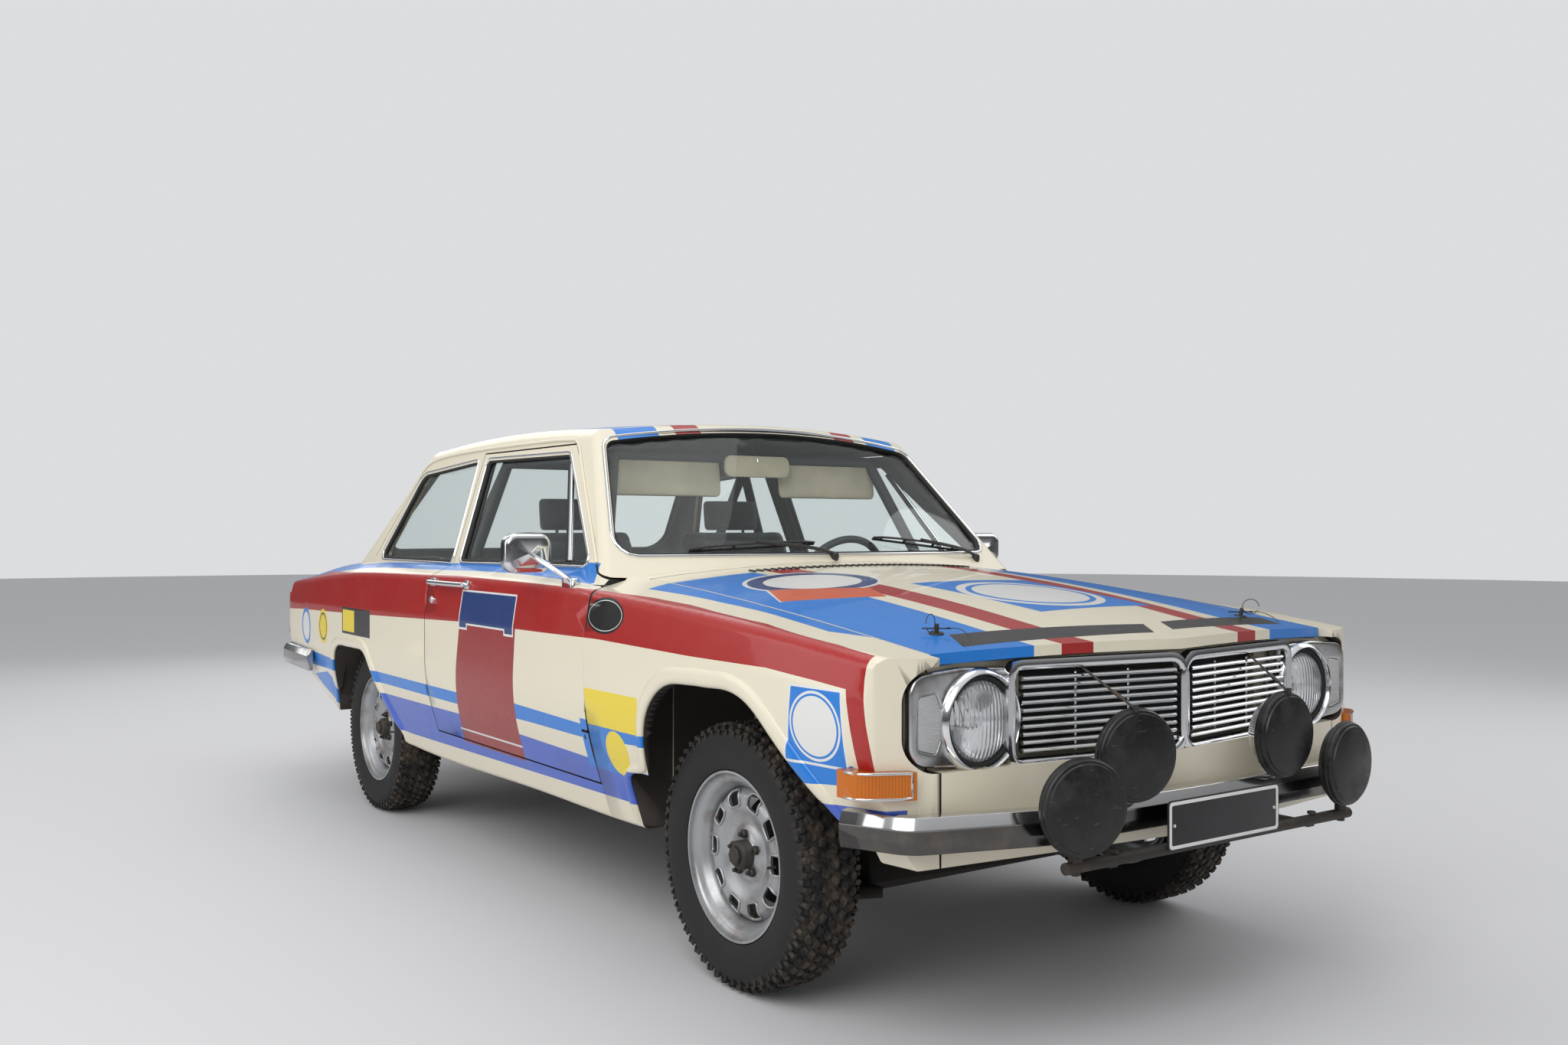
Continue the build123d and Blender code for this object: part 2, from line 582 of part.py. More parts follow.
grille_right = (grille_ring(0) - grille_ring(GRILLE_FRAME)) & v_slab(0, None)
pitch = (GRILLE_HIGH - GRILLE_LOW - 2 * GRILLE_FRAME) / (GRILLE_BARS + 1)
slats = [block(500, 1000, -GRILLE_Y + 8, -8, z - GRILLE_BAR / 2, z + GRILLE_BAR / 2)
         for z in (GRILLE_LOW + GRILLE_FRAME + pitch * (i + 1) for i in range(GRILLE_BARS))]
stays = [block(500, 1000, -y - 2, -y + 2, GRILLE_LOW + 8, GRILLE_HIGH - 8) for y in GRILLE_STAYS]
for slat in slats:
    grille_right += slat & v_slab(3, 17)
for stay in stays:
    grille_right += stay & v_slab(12, 22)
grille = grille_right + mirror(grille_right, about=Plane.XZ)
grille += block(v_line(0, 40), v_line(0) + 1, -9, 9, GRILLE_LOW, GRILLE_HIGH)

bezel_corners = [(-BEZEL_OUT, BEZEL_LOW), (-GRILLE_Y - 3, BEZEL_LOW), (-GRILLE_Y - 3, BEZEL_HIGH), (-BEZEL_OUT, BEZEL_HIGH)]
nose_plane = Plane(origin=(PANEL_FACE, 0, 0), x_dir=(0, 1, 0), z_dir=(1, 0, 0))
bezel = extrude(nose_plane * closed(bezel_corners, [74, 60, 60, 74]), amount=BEZEL_DEEP, dir=(1, 0, 0))
bezel -= tube(0, -LAMP_Y, LAMP_Z, LAMP_HOLE_R, 1000, (1, 0, 0))
bezels = pair(bezel)
lens = [(0, 0), (LENS_R, 0), (LENS_R, 12), (LENS_R * 0.8, 22), (LENS_R * 0.45, 30), (0, 33)]
lamp_unit = turned(lens, (LENS_X, -LAMP_Y, LAMP_Z), (1, 0, 0))
lamp_unit += tube(BAY_FRONT + 4, -LAMP_Y, LAMP_Z, 60, LENS_X - BAY_FRONT - 4, (1, 0, 0))
lamp_unit += tube(LENS_X - 8, -LAMP_Y, LAMP_Z, LAMP_HOLE_R, 14, (1, 0, 0))
headlamps = pair(lamp_unit)

signal = block(SIGNAL_REAR, 1000, -SIGNAL_Y, -SIGNAL_IN, SIGNAL_LOW, SIGNAL_HIGH) & plan_slab(plan_face(-SIGNAL_PROUD), 300, 1200)
signal = signal - outer
tail_lamp = block(-4000, TAIL_LAMP_X, -TAIL_LAMP_OUT, -TAIL_LAMP_IN, TAIL_LAMP_LOW, TAIL_LAMP_HIGH)
tail_lamp = (tail_lamp & plan_slab(plan_face(-TAIL_LAMP_PROUD), 300, 1200)) - outer
signal_lamps = Compound(children=both(signal) + both(tail_lamp))


def bumper(path_points, arcs, low, section):
    """A bar of one section of depth, height corners along a plan path."""
    path = FilletPolyline(*[(x, y, low) for x, y in path_points], radius=arcs)
    start = path % 0
    plane = Plane(origin=path @ 0, x_dir=Vector(0, 0, 1).cross(start), z_dir=start)
    return sweep(plane * closed(section, 3), path=path)


front_path = [(560, -866), (712, -800), (806, -500), (BUMPER_FACE, 0), (806, 500), (712, 800), (560, 866)]
front_section = [(40, 4), (8, 0), (0, 26), (0, 52), (12, 76), (40, 78)]
front_bumper = bumper(front_path, [90, 160, 3000, 160, 90], BUMPER_LOW, front_section)
rear_path = [(-3225, 872), (-3740, 840), (-3806, 600), (-3820, 0), (-3806, -600), (-3740, -840), (-3225, -872)]
rear_section = [(26, 4), (8, 0), (0, 26), (0, 64), (12, 88), (26, 92)]
rear_bumper = bumper(rear_path, [70, 200, 3000, 200, 70], REAR_BUMPER_LOW, rear_section)
for y in (-STAY_Y, STAY_Y):
    front_bumper += block(690, 785, y - 20, y + 20, 490, 530)
    rear_bumper += block(-3799, -3740, y - 20, y + 20, 530, 575)
front_bumper = biggest(front_bumper - outer)
rear_bumper = biggest(rear_bumper - outer)


def lamp(x, y, z, turn, depths):
    """A round lamp turned outwards; depths are its cover, its rim, the middle of its bowl and its back."""
    face, rim, bowl, back = depths
    out = math.radians(math.copysign(turn, y))
    profile = [(0, -back), (LAMP_CAP_R * 0.5, -back), (LAMP_CAP_R * 0.82, -bowl), (LAMP_CAP_R, -rim),
               (LAMP_CAP_R, -face - 4), (LAMP_CAP_R - 6, -face), (0, -face)]
    return turned(profile, (x, y, z), (math.cos(out), math.sin(out), 0))


lower_lamps = Part() + tube(BAR_X, -BAR_END, BAR_Z, BAR_R, 2 * BAR_END, (0, 1, 0))
for side, turn in LOWER_LAMP_TURNS.items():
    y = side * LOWER_LAMP_Y
    lower_lamps += lamp(FRONT_REACH, y, LOWER_LAMP_Z, turn, (0, 18, 36, 60))
    lower_lamps += block(BAR_X - 10, BAR_X + 10, y - 14, y + 14, BAR_Z, LOWER_LAMP_Z - LAMP_CAP_R + 20)
for y in (-STAY_Y, STAY_Y):
    lower_lamps += block(650, BAR_X, y - 14, y + 14, NOSE_UNDER - 13, NOSE_UNDER)
upper_lamps = []
for side, turn in UPPER_LAMP_TURNS.items():
    y = side * UPPER_LAMP_Y
    foot = block(786, 800, y - 12, y + 12, BUMPER_LOW + 78, UPPER_LAMP_Z - 30)
    upper_lamps.append(lamp(UPPER_LAMP_X, y, UPPER_LAMP_Z, turn, (0, 20, 44, 80)) + foot)
lamps = Compound(children=[*lower_lamps.solids(), *upper_lamps])
front_plate = block(PLATE_X, PLATE_X + 4, -197.5, 197.5, PLATE_LOW, PLATE_LOW + 111)
rear_plate = block(-3805, -3790, -260, 260, 668, 779) - outer


# Cabin fittings

cavity = cabin_low + cabin_top
dashboard = block(-880, FIREWALL, -640, 640, 772, 905) & cabin_low
dashboard -= block(-880, -600, -1000, 1000, 700, 800)
column_dir = Vector(-math.cos(COLUMN_TILT), 0, math.sin(COLUMN_TILT))
column_foot = Vector(-860, DRIVER_Y, 852)
dashboard += bar(tuple(column_foot), tuple(column_foot + column_dir * COLUMN_LONG), 19)
wheel_at = column_foot + column_dir * (COLUMN_LONG + SEAT_GAP)
wheel_plane = Plane(origin=wheel_at, z_dir=column_dir)
rim_plane = wheel_plane.offset(34)
steering_wheel = wheel_plane * Cylinder(30, 44, align=(Align.CENTER, Align.CENTER, Align.MIN))
steering_wheel += rim_plane * Torus(HAND_WHEEL_R, 13)
for turn in (0, 120, 240):
    spoke = Pos(HAND_WHEEL_R / 2, 0, 0) * Box(HAND_WHEEL_R - 4, 26, 6)
    steering_wheel += rim_plane * (Rot(0, 0, turn) * spoke)


def seat(y):
    """A front seat on its frame: the cushion, the back and the headrest."""
    frame = block(-1560, -1160, y - 190, y + 190, FLOOR_Z, 560)
    cushion = side_slab([(-1080, 560), (-1080, 640), (-1110, 668), (-1600, 640), (-1620, 560)], [0, 20, 30, 30, 0], y - 245, y + 245)
    back = side_slab([(-1560, 600), (-1500, 640), (-1690, 1120), (-1780, 1120), (-1640, 600)], [0, 20, 30, 40, 0], y - 240, y + 240)
    rest = side_slab([(-1690, 1110), (-1716, 1240), (-1780, 1240), (-1766, 1110)], [0, 25, 25, 0], y - 120, y + 120)
    return frame + cushion + back + rest


bench = side_slab([(-2120, KICK_Z), (-2120, 700), (-2160, 730), (-2470, 700), (-2600, 955), (-2636, 955), (-2636, KICK_Z)],
                  [0, 25, 40, 60, 20, 0, 0], -REAR_HOUSE_Y + END_WALL + 1, REAR_HOUSE_Y - END_WALL - 1)
seats = Compound(children=[seat(-DRIVER_Y), seat(DRIVER_Y), bench])

hoop_foot, hoop_top = (-1960, 640, FLOOR_Z), (-1900, 520, 1368)
front_foot, front_bend, front_top = (-900, 640, FLOOR_Z), (-905, 640, 980), (-1080, 520, 1368)
stay_foot = (-2460, 592, COVER_TOP - 20)
runs = [(hoop_foot, (-1930, 660, 960)), ((-1930, 660, 960), hoop_top), (front_foot, front_bend),
        (front_bend, front_top), (front_top, hoop_top), (hoop_top, stay_foot)]
cage = Part()
for a, b in runs:
    for side in (-1, 1):
        start = (a[0], a[1] * side, a[2])
        end = (b[0], b[1] * side, b[2])
        cage += bar(start, end, CAGE_R)
for x, y, z in (hoop_top, front_top):
    cage += bar((x, -y, z), (x, y, z), CAGE_R)
for x, y, z in (hoop_top, front_top, front_bend, (-1930, 660, 960)):
    cage += Pos(x, y, z) * Sphere(CAGE_R) + Pos(x, -y, z) * Sphere(CAGE_R)
cage = (cage & block(-4000, 1000, -1000, 1000, FLOOR_Z, 2000)) - house_covers


# Running gear

engine = block(-330, 330, -150, 150, CROSS_TOP, 820)
radiator = block(BAY_FRONT - 45, BAY_FRONT, -BAY_Y + SEAT_GAP, BAY_Y - SEAT_GAP, 460, 800)
gearbox = block(-900, -330, -80, 80, 330, 470)
gearbox += tube(REAR_AXLE + 118, 0, 385, 30, -900 - REAR_AXLE - 118, (1, 0, 0))
tank = block(-3620, -3265, -430, 430, 400, TAIL_UNDER)
pipe = [(-330, -115, PIPE_Z + 30), (-480, -160, PIPE_Z), (-2150, -180, PIPE_Z), (-2390, -250, PIPE_Z - 50),
        (-2850, -250, PIPE_Z - 50), (-3200, -520, PIPE_Z + 100), (-3770, -520, PIPE_Z + 120)]
exhaust_path = FilletPolyline(*pipe, radius=90)
exhaust = sweep(Plane(origin=exhaust_path @ 0, z_dir=exhaust_path % 0) * Circle(PIPE_R), path=exhaust_path)
exhaust += tube(-1750, -180, PIPE_Z, MUFFLER_R, 420, (1, 0, 0))
for x in (-1180, -1980):
    exhaust += block(x, x + 20, -186, -174, PIPE_Z, UNDER_FLOOR)
exhaust += block(-3600, -3580, -526, -514, PIPE_Z + 110, TAIL_UNDER)
exhaust = biggest(exhaust - engine)

crossmember = block(-70, 70, -BAY_Y, BAY_Y, 200, CROSS_TOP)
suspension = Part() + crossmember
for side in (-1, 1):
    arm = plan_slab(closed([(-110, side * 380), (-24, side * (KINGPIN_Y)), (24, side * (KINGPIN_Y)), (110, side * 380)]), 190, 218)
    eye = tube(0, side * KINGPIN_Y, 190, 26, 28, (0, 0, 1))
    upper = plan_slab(closed([(-90, side * WHEELHOUSE_Y), (-20, side * KINGPIN_Y), (20, side * KINGPIN_Y), (90, side * WHEELHOUSE_Y)]), 436, 456)
    upper += tube(0, side * KINGPIN_Y, 436, 24, 20, (0, 0, 1))
    spring = tube(0, side * 490, 218, 44, 765 - 218, (0, 0, 1)) - upper
    lower = arm + eye - tube(0, side * KINGPIN_Y, 0, BALL_R + SEAT_GAP, 1000, (0, 0, 1))
    upper = upper - tube(0, side * KINGPIN_Y, 0, BALL_R + SEAT_GAP, 1000, (0, 0, 1))
    suspension += lower
    suspension += spring
    suspension += upper


def knuckle(side):
    """The upright between the two arms, with its ball pins, brake disc and stub axle."""
    y = side * KINGPIN_Y
    upright = block(-26, 26, y - 18, y + 18, 218 + SEAT_GAP, 436 - SEAT_GAP)
    upright += tube(0, y, 196, BALL_R, 256, (0, 0, 1))
    upright += tube(0, y, TYRE_R, 46, side * (BRAKE_Y - KINGPIN_Y), (0, 1, 0))
    upright += tube(0, side * BRAKE_Y, TYRE_R, BRAKE_R, side * BRAKE_W, (0, 1, 0))
    return upright + tube(0, y, TYRE_R, STUB_R, side * (WHEEL_Y + STUB_END - KINGPIN_Y), (0, 1, 0))


axle = tube(REAR_AXLE, -BRAKE_Y, TYRE_R, 40, 2 * BRAKE_Y, (0, 1, 0))
axle += Pos(REAR_AXLE, 0, TYRE_R + 10) * Sphere(118)
for side in (-1, 1):
    axle += tube(REAR_AXLE, side * BRAKE_Y, TYRE_R, BRAKE_R, side * BRAKE_W, (0, 1, 0))
    axle += tube(REAR_AXLE, side * BRAKE_Y, TYRE_R, STUB_R, side * (WHEEL_Y + STUB_END - BRAKE_Y), (0, 1, 0))
    axle += tube(REAR_AXLE + 60, side * 470, TYRE_R, 52, AXLE_ROOF - TYRE_R, (0, 0, 1))
    axle += block(REAR_AXLE, REAR_AXLE + 120, side * 470 - 30, side * 470 + 30, TYRE_R - 70, TYRE_R + 4)


def wheel(x, side):
    """A slotted steel wheel on its hub, open for the stub axle."""
    half = RIM_W / 2
    outside = [(RIM_R, half), (RIM_R - 4, half - 14), (RIM_R - 20, half - 20), (RIM_WELL_R, half - 44),
               (RIM_WELL_R, -half + 56), (RIM_R - 20, -half + 20), (RIM_R - 4, -half + 14), (RIM_R, -half)]
    inside = [(r - RIM_WALL, h) for r, h in reversed(outside)]
    rim = turned(outside + inside, (0, 0, 0), (0, 0, 1))
    well = RIM_WELL_R - RIM_WALL / 2
    face = [(well, 14), (well - 14, 30), (SLOT_RING_R + 8, 40), (SLOT_RING_R - 22, 38), (92, 26), (76, 22), (HUB_R, 30), (34, 30)]
    back = [(r, h - DISC_WALL) for r, h in reversed(face)]
    disc = turned(face + back, (0, 0, 0), (0, 0, 1))
    for i in range(WHEEL_SLOTS):
        slot = Pos(SLOT_RING_R, 0, 30) * Box(SLOT_TALL, SLOT_WIDE, 60)
        slot = fillet(slot.edges().filter_by(Axis.Z), 11)
        disc -= Rot(0, 0, 360 / WHEEL_SLOTS * i) * slot
    hub = turned([(STUB_R + SEAT_GAP, 0), (HUB_R, 0), (HUB_R, 24), (36, 30), (36, 52), (28, 60), (0, 60), (0, 30), (STUB_R + SEAT_GAP, 30)], (0, 0, 0), (0, 0, 1))
    whole = rim + disc + hub
    return Plane(origin=(x, side * WHEEL_Y, TYRE_R), x_dir=(1, 0, 0), z_dir=(0, side, 0)) * whole


def tyre(x, side):
    """A tyre whose beads sit in the rim."""
    half = TYRE_W / 2
    lip = RIM_W / 2
    outline = [(RIM_R - 20 + SEAT_GAP, lip - 20.5), (RIM_R - 4 + SEAT_GAP, lip - 14.5), (RIM_R + SEAT_GAP, lip),
               (RIM_R + 14, half - 5), (RIM_R + 55, half), (TYRE_R - 26, half - 4), (TYRE_R - 7, half - 14),
               (TYRE_R, half - 28)]
    outline += [(r, -h) for r, h in reversed(outline)]
    ring = turned(outline, (0, 0, 0), (0, 0, 1))
    return Plane(origin=(x, side * WHEEL_Y, TYRE_R), x_dir=(1, 0, 0), z_dir=(0, side, 0)) * ring


def mirror_arm(side):
    """A door mirror on its stalk: the foot, the stalk and the housing."""
    foot = block(MIRROR_FOOT_X - 36, MIRROR_FOOT_X + 36, side * 826 - 14, side * 826 + 14, 950, 986)
    foot = fillet(foot.edges().filter_by(Axis.Z), 10)
    stalk = bar((MIRROR_FOOT_X, side * 826, 980), (MIRROR_X + 15, side * MIRROR_Y, MIRROR_Z), 7)
    housing = Box(MIRROR_DEEP, MIRROR_WIDE, MIRROR_TALL)
    housing = fillet(housing.edges().filter_by(Axis.X), 34)
    housing = fillet(housing.edges().group_by(Axis.X)[-1], 16)
    return (foot - outer) + (stalk - outer) + move(housing, MIRROR_X, side * MIRROR_Y, MIRROR_Z)


# The finished pieces

nodes = {
    "body_shell": shell, "roof": roof, "front_wings": wings, "bonnet": bonnet, "boot_lid": boot_lid,
    "door_right": door_right, "door_left": mirror(door_right, about=Plane.XZ),
    "windscreen": windscreen, "rear_window": rear_window, "quarter_windows": quarter_glass,
    "door_glass_right": door_glass, "door_glass_left": mirror(door_glass, about=Plane.XZ),
    "nose_panel": nose_panel, "grille": grille, "headlamp_bezels": bezels, "headlamps": headlamps,
    "signal_lamps": signal_lamps, "front_bumper": front_bumper,
    "rear_bumper": rear_bumper, "driving_lamps": lamps, "front_plate": front_plate, "rear_plate": rear_plate,
    "dashboard": dashboard, "steering_wheel": steering_wheel, "seats": seats, "roll_cage": cage,
    "engine": engine, "radiator": radiator, "gearbox": gearbox,
    "fuel_tank": tank, "exhaust": exhaust, "front_suspension": suspension, "rear_axle": axle,
    "knuckle_right": knuckle(-1), "knuckle_left": knuckle(1),
    "mirror_right": mirror_arm(-1), "mirror_left": mirror_arm(1),
}
for name, x, side in (("front_right", 0, -1), ("front_left", 0, 1),
                      ("rear_right", REAR_AXLE, -1), ("rear_left", REAR_AXLE, 1)):
    nodes["wheel_" + name] = wheel(x, side)
    nodes["tyre_" + name] = tyre(x, side)
for name, solid in nodes.items():
    export_step(move(solid, x=ORIGIN_SHIFT), f"parts/{name}.step")
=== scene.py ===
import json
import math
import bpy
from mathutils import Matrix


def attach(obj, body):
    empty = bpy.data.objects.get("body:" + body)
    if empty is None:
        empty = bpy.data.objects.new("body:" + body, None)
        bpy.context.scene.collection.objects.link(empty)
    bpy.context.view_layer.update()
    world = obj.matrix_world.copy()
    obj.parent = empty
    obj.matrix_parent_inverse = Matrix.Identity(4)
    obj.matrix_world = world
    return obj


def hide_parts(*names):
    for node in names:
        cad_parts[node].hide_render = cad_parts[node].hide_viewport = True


bl_info = {
    "name": "Rally Saloon",
    "version": (1, 0, 0),
    "blender": (4, 5, 0),
    "location": "View3D > Sidebar > Rally Saloon",
    "description": "Paint, glass, wheels, lamps, trim and cabin of a two-door rally saloon",
    "category": "Object",
}

import bmesh
import bpy
from bpy.props import FloatProperty, FloatVectorProperty, IntProperty, PointerProperty
from mathutils import Matrix, Vector
from mathutils.bvhtree import BVHTree

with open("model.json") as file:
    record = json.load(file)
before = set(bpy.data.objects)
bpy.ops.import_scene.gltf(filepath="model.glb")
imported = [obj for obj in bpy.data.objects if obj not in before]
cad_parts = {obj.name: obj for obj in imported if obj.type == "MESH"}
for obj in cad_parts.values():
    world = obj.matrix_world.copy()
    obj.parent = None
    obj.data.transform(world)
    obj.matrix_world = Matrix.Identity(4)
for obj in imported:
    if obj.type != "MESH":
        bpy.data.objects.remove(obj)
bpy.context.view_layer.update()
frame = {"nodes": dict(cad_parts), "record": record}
NODES = frame["nodes"]

# Where the frame's axles are
AXLE = 1.4675
REAR_AXLE = AXLE - 2.62
WHEEL_Z = 0.327
WHEEL_Y = 0.694
SIDES = [(-1, "right"), (1, "left")]
# How far out the flank starts, and how close points are merged in a copy of a CAD node
FLANK_Y = 0.76
MERGE = 0.00002


# Node trees

class Wire:
    """A socket in a node tree that takes part in Python expressions."""

    def __init__(self, nodes, socket):
        self.nodes = nodes
        self.socket = socket

    def math(self, operation, *others, clamp=False):
        settings = {"operation": operation, "use_clamp": clamp}
        return self.nodes.add("ShaderNodeMath", settings, [self, *others])

    def __add__(self, other):
        return self.math("ADD", other)

    def __radd__(self, other):
        return self.math("ADD", other)

    def __sub__(self, other):
        return self.math("SUBTRACT", other)

    def __rsub__(self, other):
        return self.nodes.add("ShaderNodeMath", {"operation": "SUBTRACT"}, [other, self])

    def __mul__(self, other):
        return self.math("MULTIPLY", other)

    def __rmul__(self, other):
        return self.math("MULTIPLY", other)

    def __truediv__(self, other):
        return self.math("DIVIDE", other)

    def __rtruediv__(self, other):
        return self.nodes.add("ShaderNodeMath", {"operation": "DIVIDE"}, [other, self])

    def __pow__(self, other):
        return self.math("POWER", other)

    def __abs__(self):
        return self.math("ABSOLUTE")

    def __gt__(self, other):
        return self.math("GREATER_THAN", other)

    def __lt__(self, other):
        return self.math("LESS_THAN", other)

    def __and__(self, other):
        return self.math("MULTIPLY", other)

    def __or__(self, other):
        return self.math("MAXIMUM", other)

    def __invert__(self):
        return 1 - self


class Graph:
    """A node tree with a short way to add nodes."""

    def __init__(self, tree):
        self.tree = tree

    def add(self, kind, settings=None, values=(), out=0):
        """A node of a type with its settings, and values or links for its sockets by order or name."""
        node = self.tree.nodes.new(kind)
        for key, value in (settings or {}).items():
            if key == "stops":
                for i, (position, tone) in enumerate(value):
                    stop = node.color_ramp.elements[i] if i < 2 else node.color_ramp.elements.new(position)
                    stop.position = position
                    stop.color = (*tone, 1)
            else:
                setattr(node, key, value)
        pairs = values.items() if isinstance(values, dict) else enumerate(values)
        for key, value in pairs:
            if isinstance(value, Wire):
                self.tree.links.new(value.socket, node.inputs[key])
            else:
                node.inputs[key].default_value = value
        return Wire(self, node.outputs[out])

    def moved(self, shape, **values):
        """A shape moved, turned or scaled."""
        return self.add("GeometryNodeTransform", values={"Geometry": shape, **values})


class Finish(Graph):
    """A material with its principled shader and a short way to add nodes."""

    def __init__(self, name, color, rough=0.5, metal=0.0, coat=0.0, **sockets):
        self.material = bpy.data.materials.new(name)
        self.material.use_nodes = True
        self.tree = self.material.node_tree
        self.shader = self.tree.nodes["Principled BSDF"]
        self.put("Base Color", color)
        self.put("Roughness", rough)
        self.put("Metallic", metal)
        self.put("Coat Weight", coat)
        for socket, value in sockets.items():
            self.put(socket.replace("_", " "), value)

    def put(self, socket, value):
        target = self.shader.inputs[socket]
        if isinstance(value, Wire):
            self.tree.links.new(value.socket, target)
        elif isinstance(value, (tuple, list)):
            target.default_value = (*value, 1)[:4] if len(value) == 3 else value
        else:
            target.default_value = value

    def place(self):
        """The three object coordinates."""
        coords = self.add("ShaderNodeTexCoord", out="Object")
        split = self.add("ShaderNodeSeparateXYZ", values=[coords])
        return coords, *(Wire(self, split.socket.node.outputs[i]) for i in range(3))

    def noise(self, scale, detail=3.0, rough=0.5, at=None, stretch=None):
        at = at or self.add("ShaderNodeTexCoord", out="Object")
        if stretch:
            at = self.add("ShaderNodeMapping", values={"Vector": at, "Scale": stretch})
        return self.add("ShaderNodeTexNoise", values={"Vector": at, "Scale": scale, "Detail": detail,
                                                       "Roughness": rough})

    def ramp(self, factor, *stops):
        return self.add("ShaderNodeValToRGB", {"stops": stops}, [factor])

    def rise(self, factor, low, high):
        """0 up to the factor's low value, and 1 from its high value."""
        return self.ramp(factor, (low, (0, 0, 0)), (high, (1, 1, 1)))

    def mix(self, factor, low, high):
        """The color low where the factor is 0, and high where it is 1."""
        tones = [(*tone, 1) if isinstance(tone, tuple) else tone for tone in (low, high)]
        node = self.tree.nodes.new("ShaderNodeMix")
        node.data_type = "RGBA"
        for index, value in ((0, factor), (6, tones[0]), (7, tones[1])):
            if isinstance(value, Wire):
                self.tree.links.new(value.socket, node.inputs[index])
            else:
                node.inputs[index].default_value = value
        return Wire(self, node.outputs[2])

    def curve(self, value, points):
        """A height along the points x, y of a broken line."""
        low, high = points[0][0], points[-1][0]
        node = self.tree.nodes.new("ShaderNodeFloatCurve")
        bottom = min(y for _, y in points) - 0.1
        top = max(y for _, y in points) + 0.1
        line = node.mapping.curves[0]
        while len(line.points) < len(points):
            line.points.new(0.5, 0.5)
        for point, (x, y) in zip(line.points, points):
            point.location = ((x - low) / (high - low), (y - bottom) / (top - bottom))
            point.handle_type = "VECTOR"
        node.mapping.update()
        share = (value - low) / (high - low)
        self.tree.links.new(share.socket, node.inputs["Value"])
        return Wire(self, node.outputs[0]) * (top - bottom) + bottom

    def bump(self, height, strength=0.3, distance=0.001):
        self.put("Normal", self.add("ShaderNodeBump", values={"Height": height, "Strength": strength,
                                                               "Distance": distance}))
        return self

    def use(self, *objects):
        for each in objects:
            each.data.materials.clear()
            each.data.materials.append(self.material)
        return objects[0]


FINISHES = {}


def finish(name):
    return FINISHES[name]


# Mesh helpers

def at(x, y, z):
    """A point given from the front axle, in the frame."""
    return Vector((x + AXLE, y, z))


def link(name, mesh, material=None):
    piece = bpy.data.objects.new(name, mesh)
    bpy.context.scene.collection.objects.link(piece)
    if material:
        material.use(piece)
    return piece


def from_bmesh(name, work, material=None, smooth=35):
    mesh = bpy.data.meshes.new(name)
    work.to_mesh(mesh)
    work.free()
    if smooth:
        mesh.shade_smooth()
        mesh.set_sharp_from_angle(angle=math.radians(smooth))
    return link(name, mesh, material)


def closed_piece(name, work, material=None, smooth=35):
    """A piece of closed bodies, with its faces turned outwards."""
    bmesh.ops.recalc_face_normals(work, faces=work.faces)
    return from_bmesh(name, work, material, smooth)


def tidy_copy(node, name, smooth=30):
    """A merged, smooth-shaded copy of a CAD node."""
    work = bmesh.new()
    work.from_mesh(NODES[node].data)
    bmesh.ops.remove_doubles(work, verts=work.verts, dist=MERGE)
    return from_bmesh(name, work, smooth=smooth)


BODY_OF = {node: body for body, nodes in frame["record"]["behaviour"]["bodies"].items() for node in nodes}


def stand_for(piece, node):
    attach(piece, BODY_OF[node])
    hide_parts(node)
    return piece


def fix(piece, body):
    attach(piece, body)
    return piece


def lathe(work, profile, steps, centre=(0, 0, 0), axis=(0, 0, 1), close=True):
    """Turns a profile of radius, height corners about an axis."""
    turn = Vector((0, 0, 1)).rotation_difference(Vector(axis)).to_matrix()
    rings = []
    for radius, height in profile:
        ring = []
        for i in range(1 if radius == 0 else steps):
            angle = math.tau * i / steps
            point = Vector((radius * math.cos(angle), radius * math.sin(angle), height))
            ring.append(work.verts.new(turn @ point + Vector(centre)))
        rings.append(ring)
    pairs = list(zip(rings, rings[1:]))
    if close:
        pairs.append((rings[-1], rings[0]))
    for low, high in pairs:
        for i in range(steps):
            k = i + 1
            corners = [low[i % len(low)], low[k % len(low)], high[k % len(high)], high[i % len(high)]]
            corners = list(dict.fromkeys(corners))
            if len(corners) > 2:
                work.faces.new(corners)
    return work


def skin(work, rings, around=False):
    """Faces between rings of points, also from the last to the first where they go around."""
    for low, high in zip(rings, rings[1:] + (rings[:1] if around else [])):
        for j in range(len(low)):
            k = (j + 1) % len(low)
            work.faces.new((low[j], low[k], high[k], high[j]))


def capped(work, rings):
    """A skin over rings of points, closed at both ends."""
    skin(work, rings)
    work.faces.new(rings[0][::-1])
    work.faces.new(rings[-1])


def rod(work, points, radius, sides=12):
    """A round bar along points, closed at both ends."""
    points = [Vector(p) for p in points]
    rings = []
    side = None
    for i, point in enumerate(points):
        ahead = (points[min(i + 1, len(points) - 1)] - points[max(i - 1, 0)]).normalized()
        if side is None:
            side = ahead.cross(Vector((0.1, 0.2, 1))).normalized()
        side = (side - ahead * side.dot(ahead)).normalized()
        over = ahead.cross(side)
        rings.append([work.verts.new(point + radius * (math.cos(a) * side + math.sin(a) * over))
                      for a in (math.tau * j / sides for j in range(sides))])
    capped(work, rings)
    return work


def arc(points, steps=8):
    """A smooth line through a few points, as a list of many."""
    points = [Vector(p) for p in points]
    ends = [2 * points[0] - points[1], *points, 2 * points[-1] - points[-2]]
    smooth = []
    for a, b, c, d in zip(ends, ends[1:], ends[2:], ends[3:]):
        for i in range(steps):
            t = i / steps
            smooth.append(0.5 * (2 * b + (c - a) * t + (2 * a - 5 * b + 4 * c - d) * t ** 2
                                 + (3 * b - a - 3 * c + d) * t ** 3))
    return [*smooth, points[-1]]


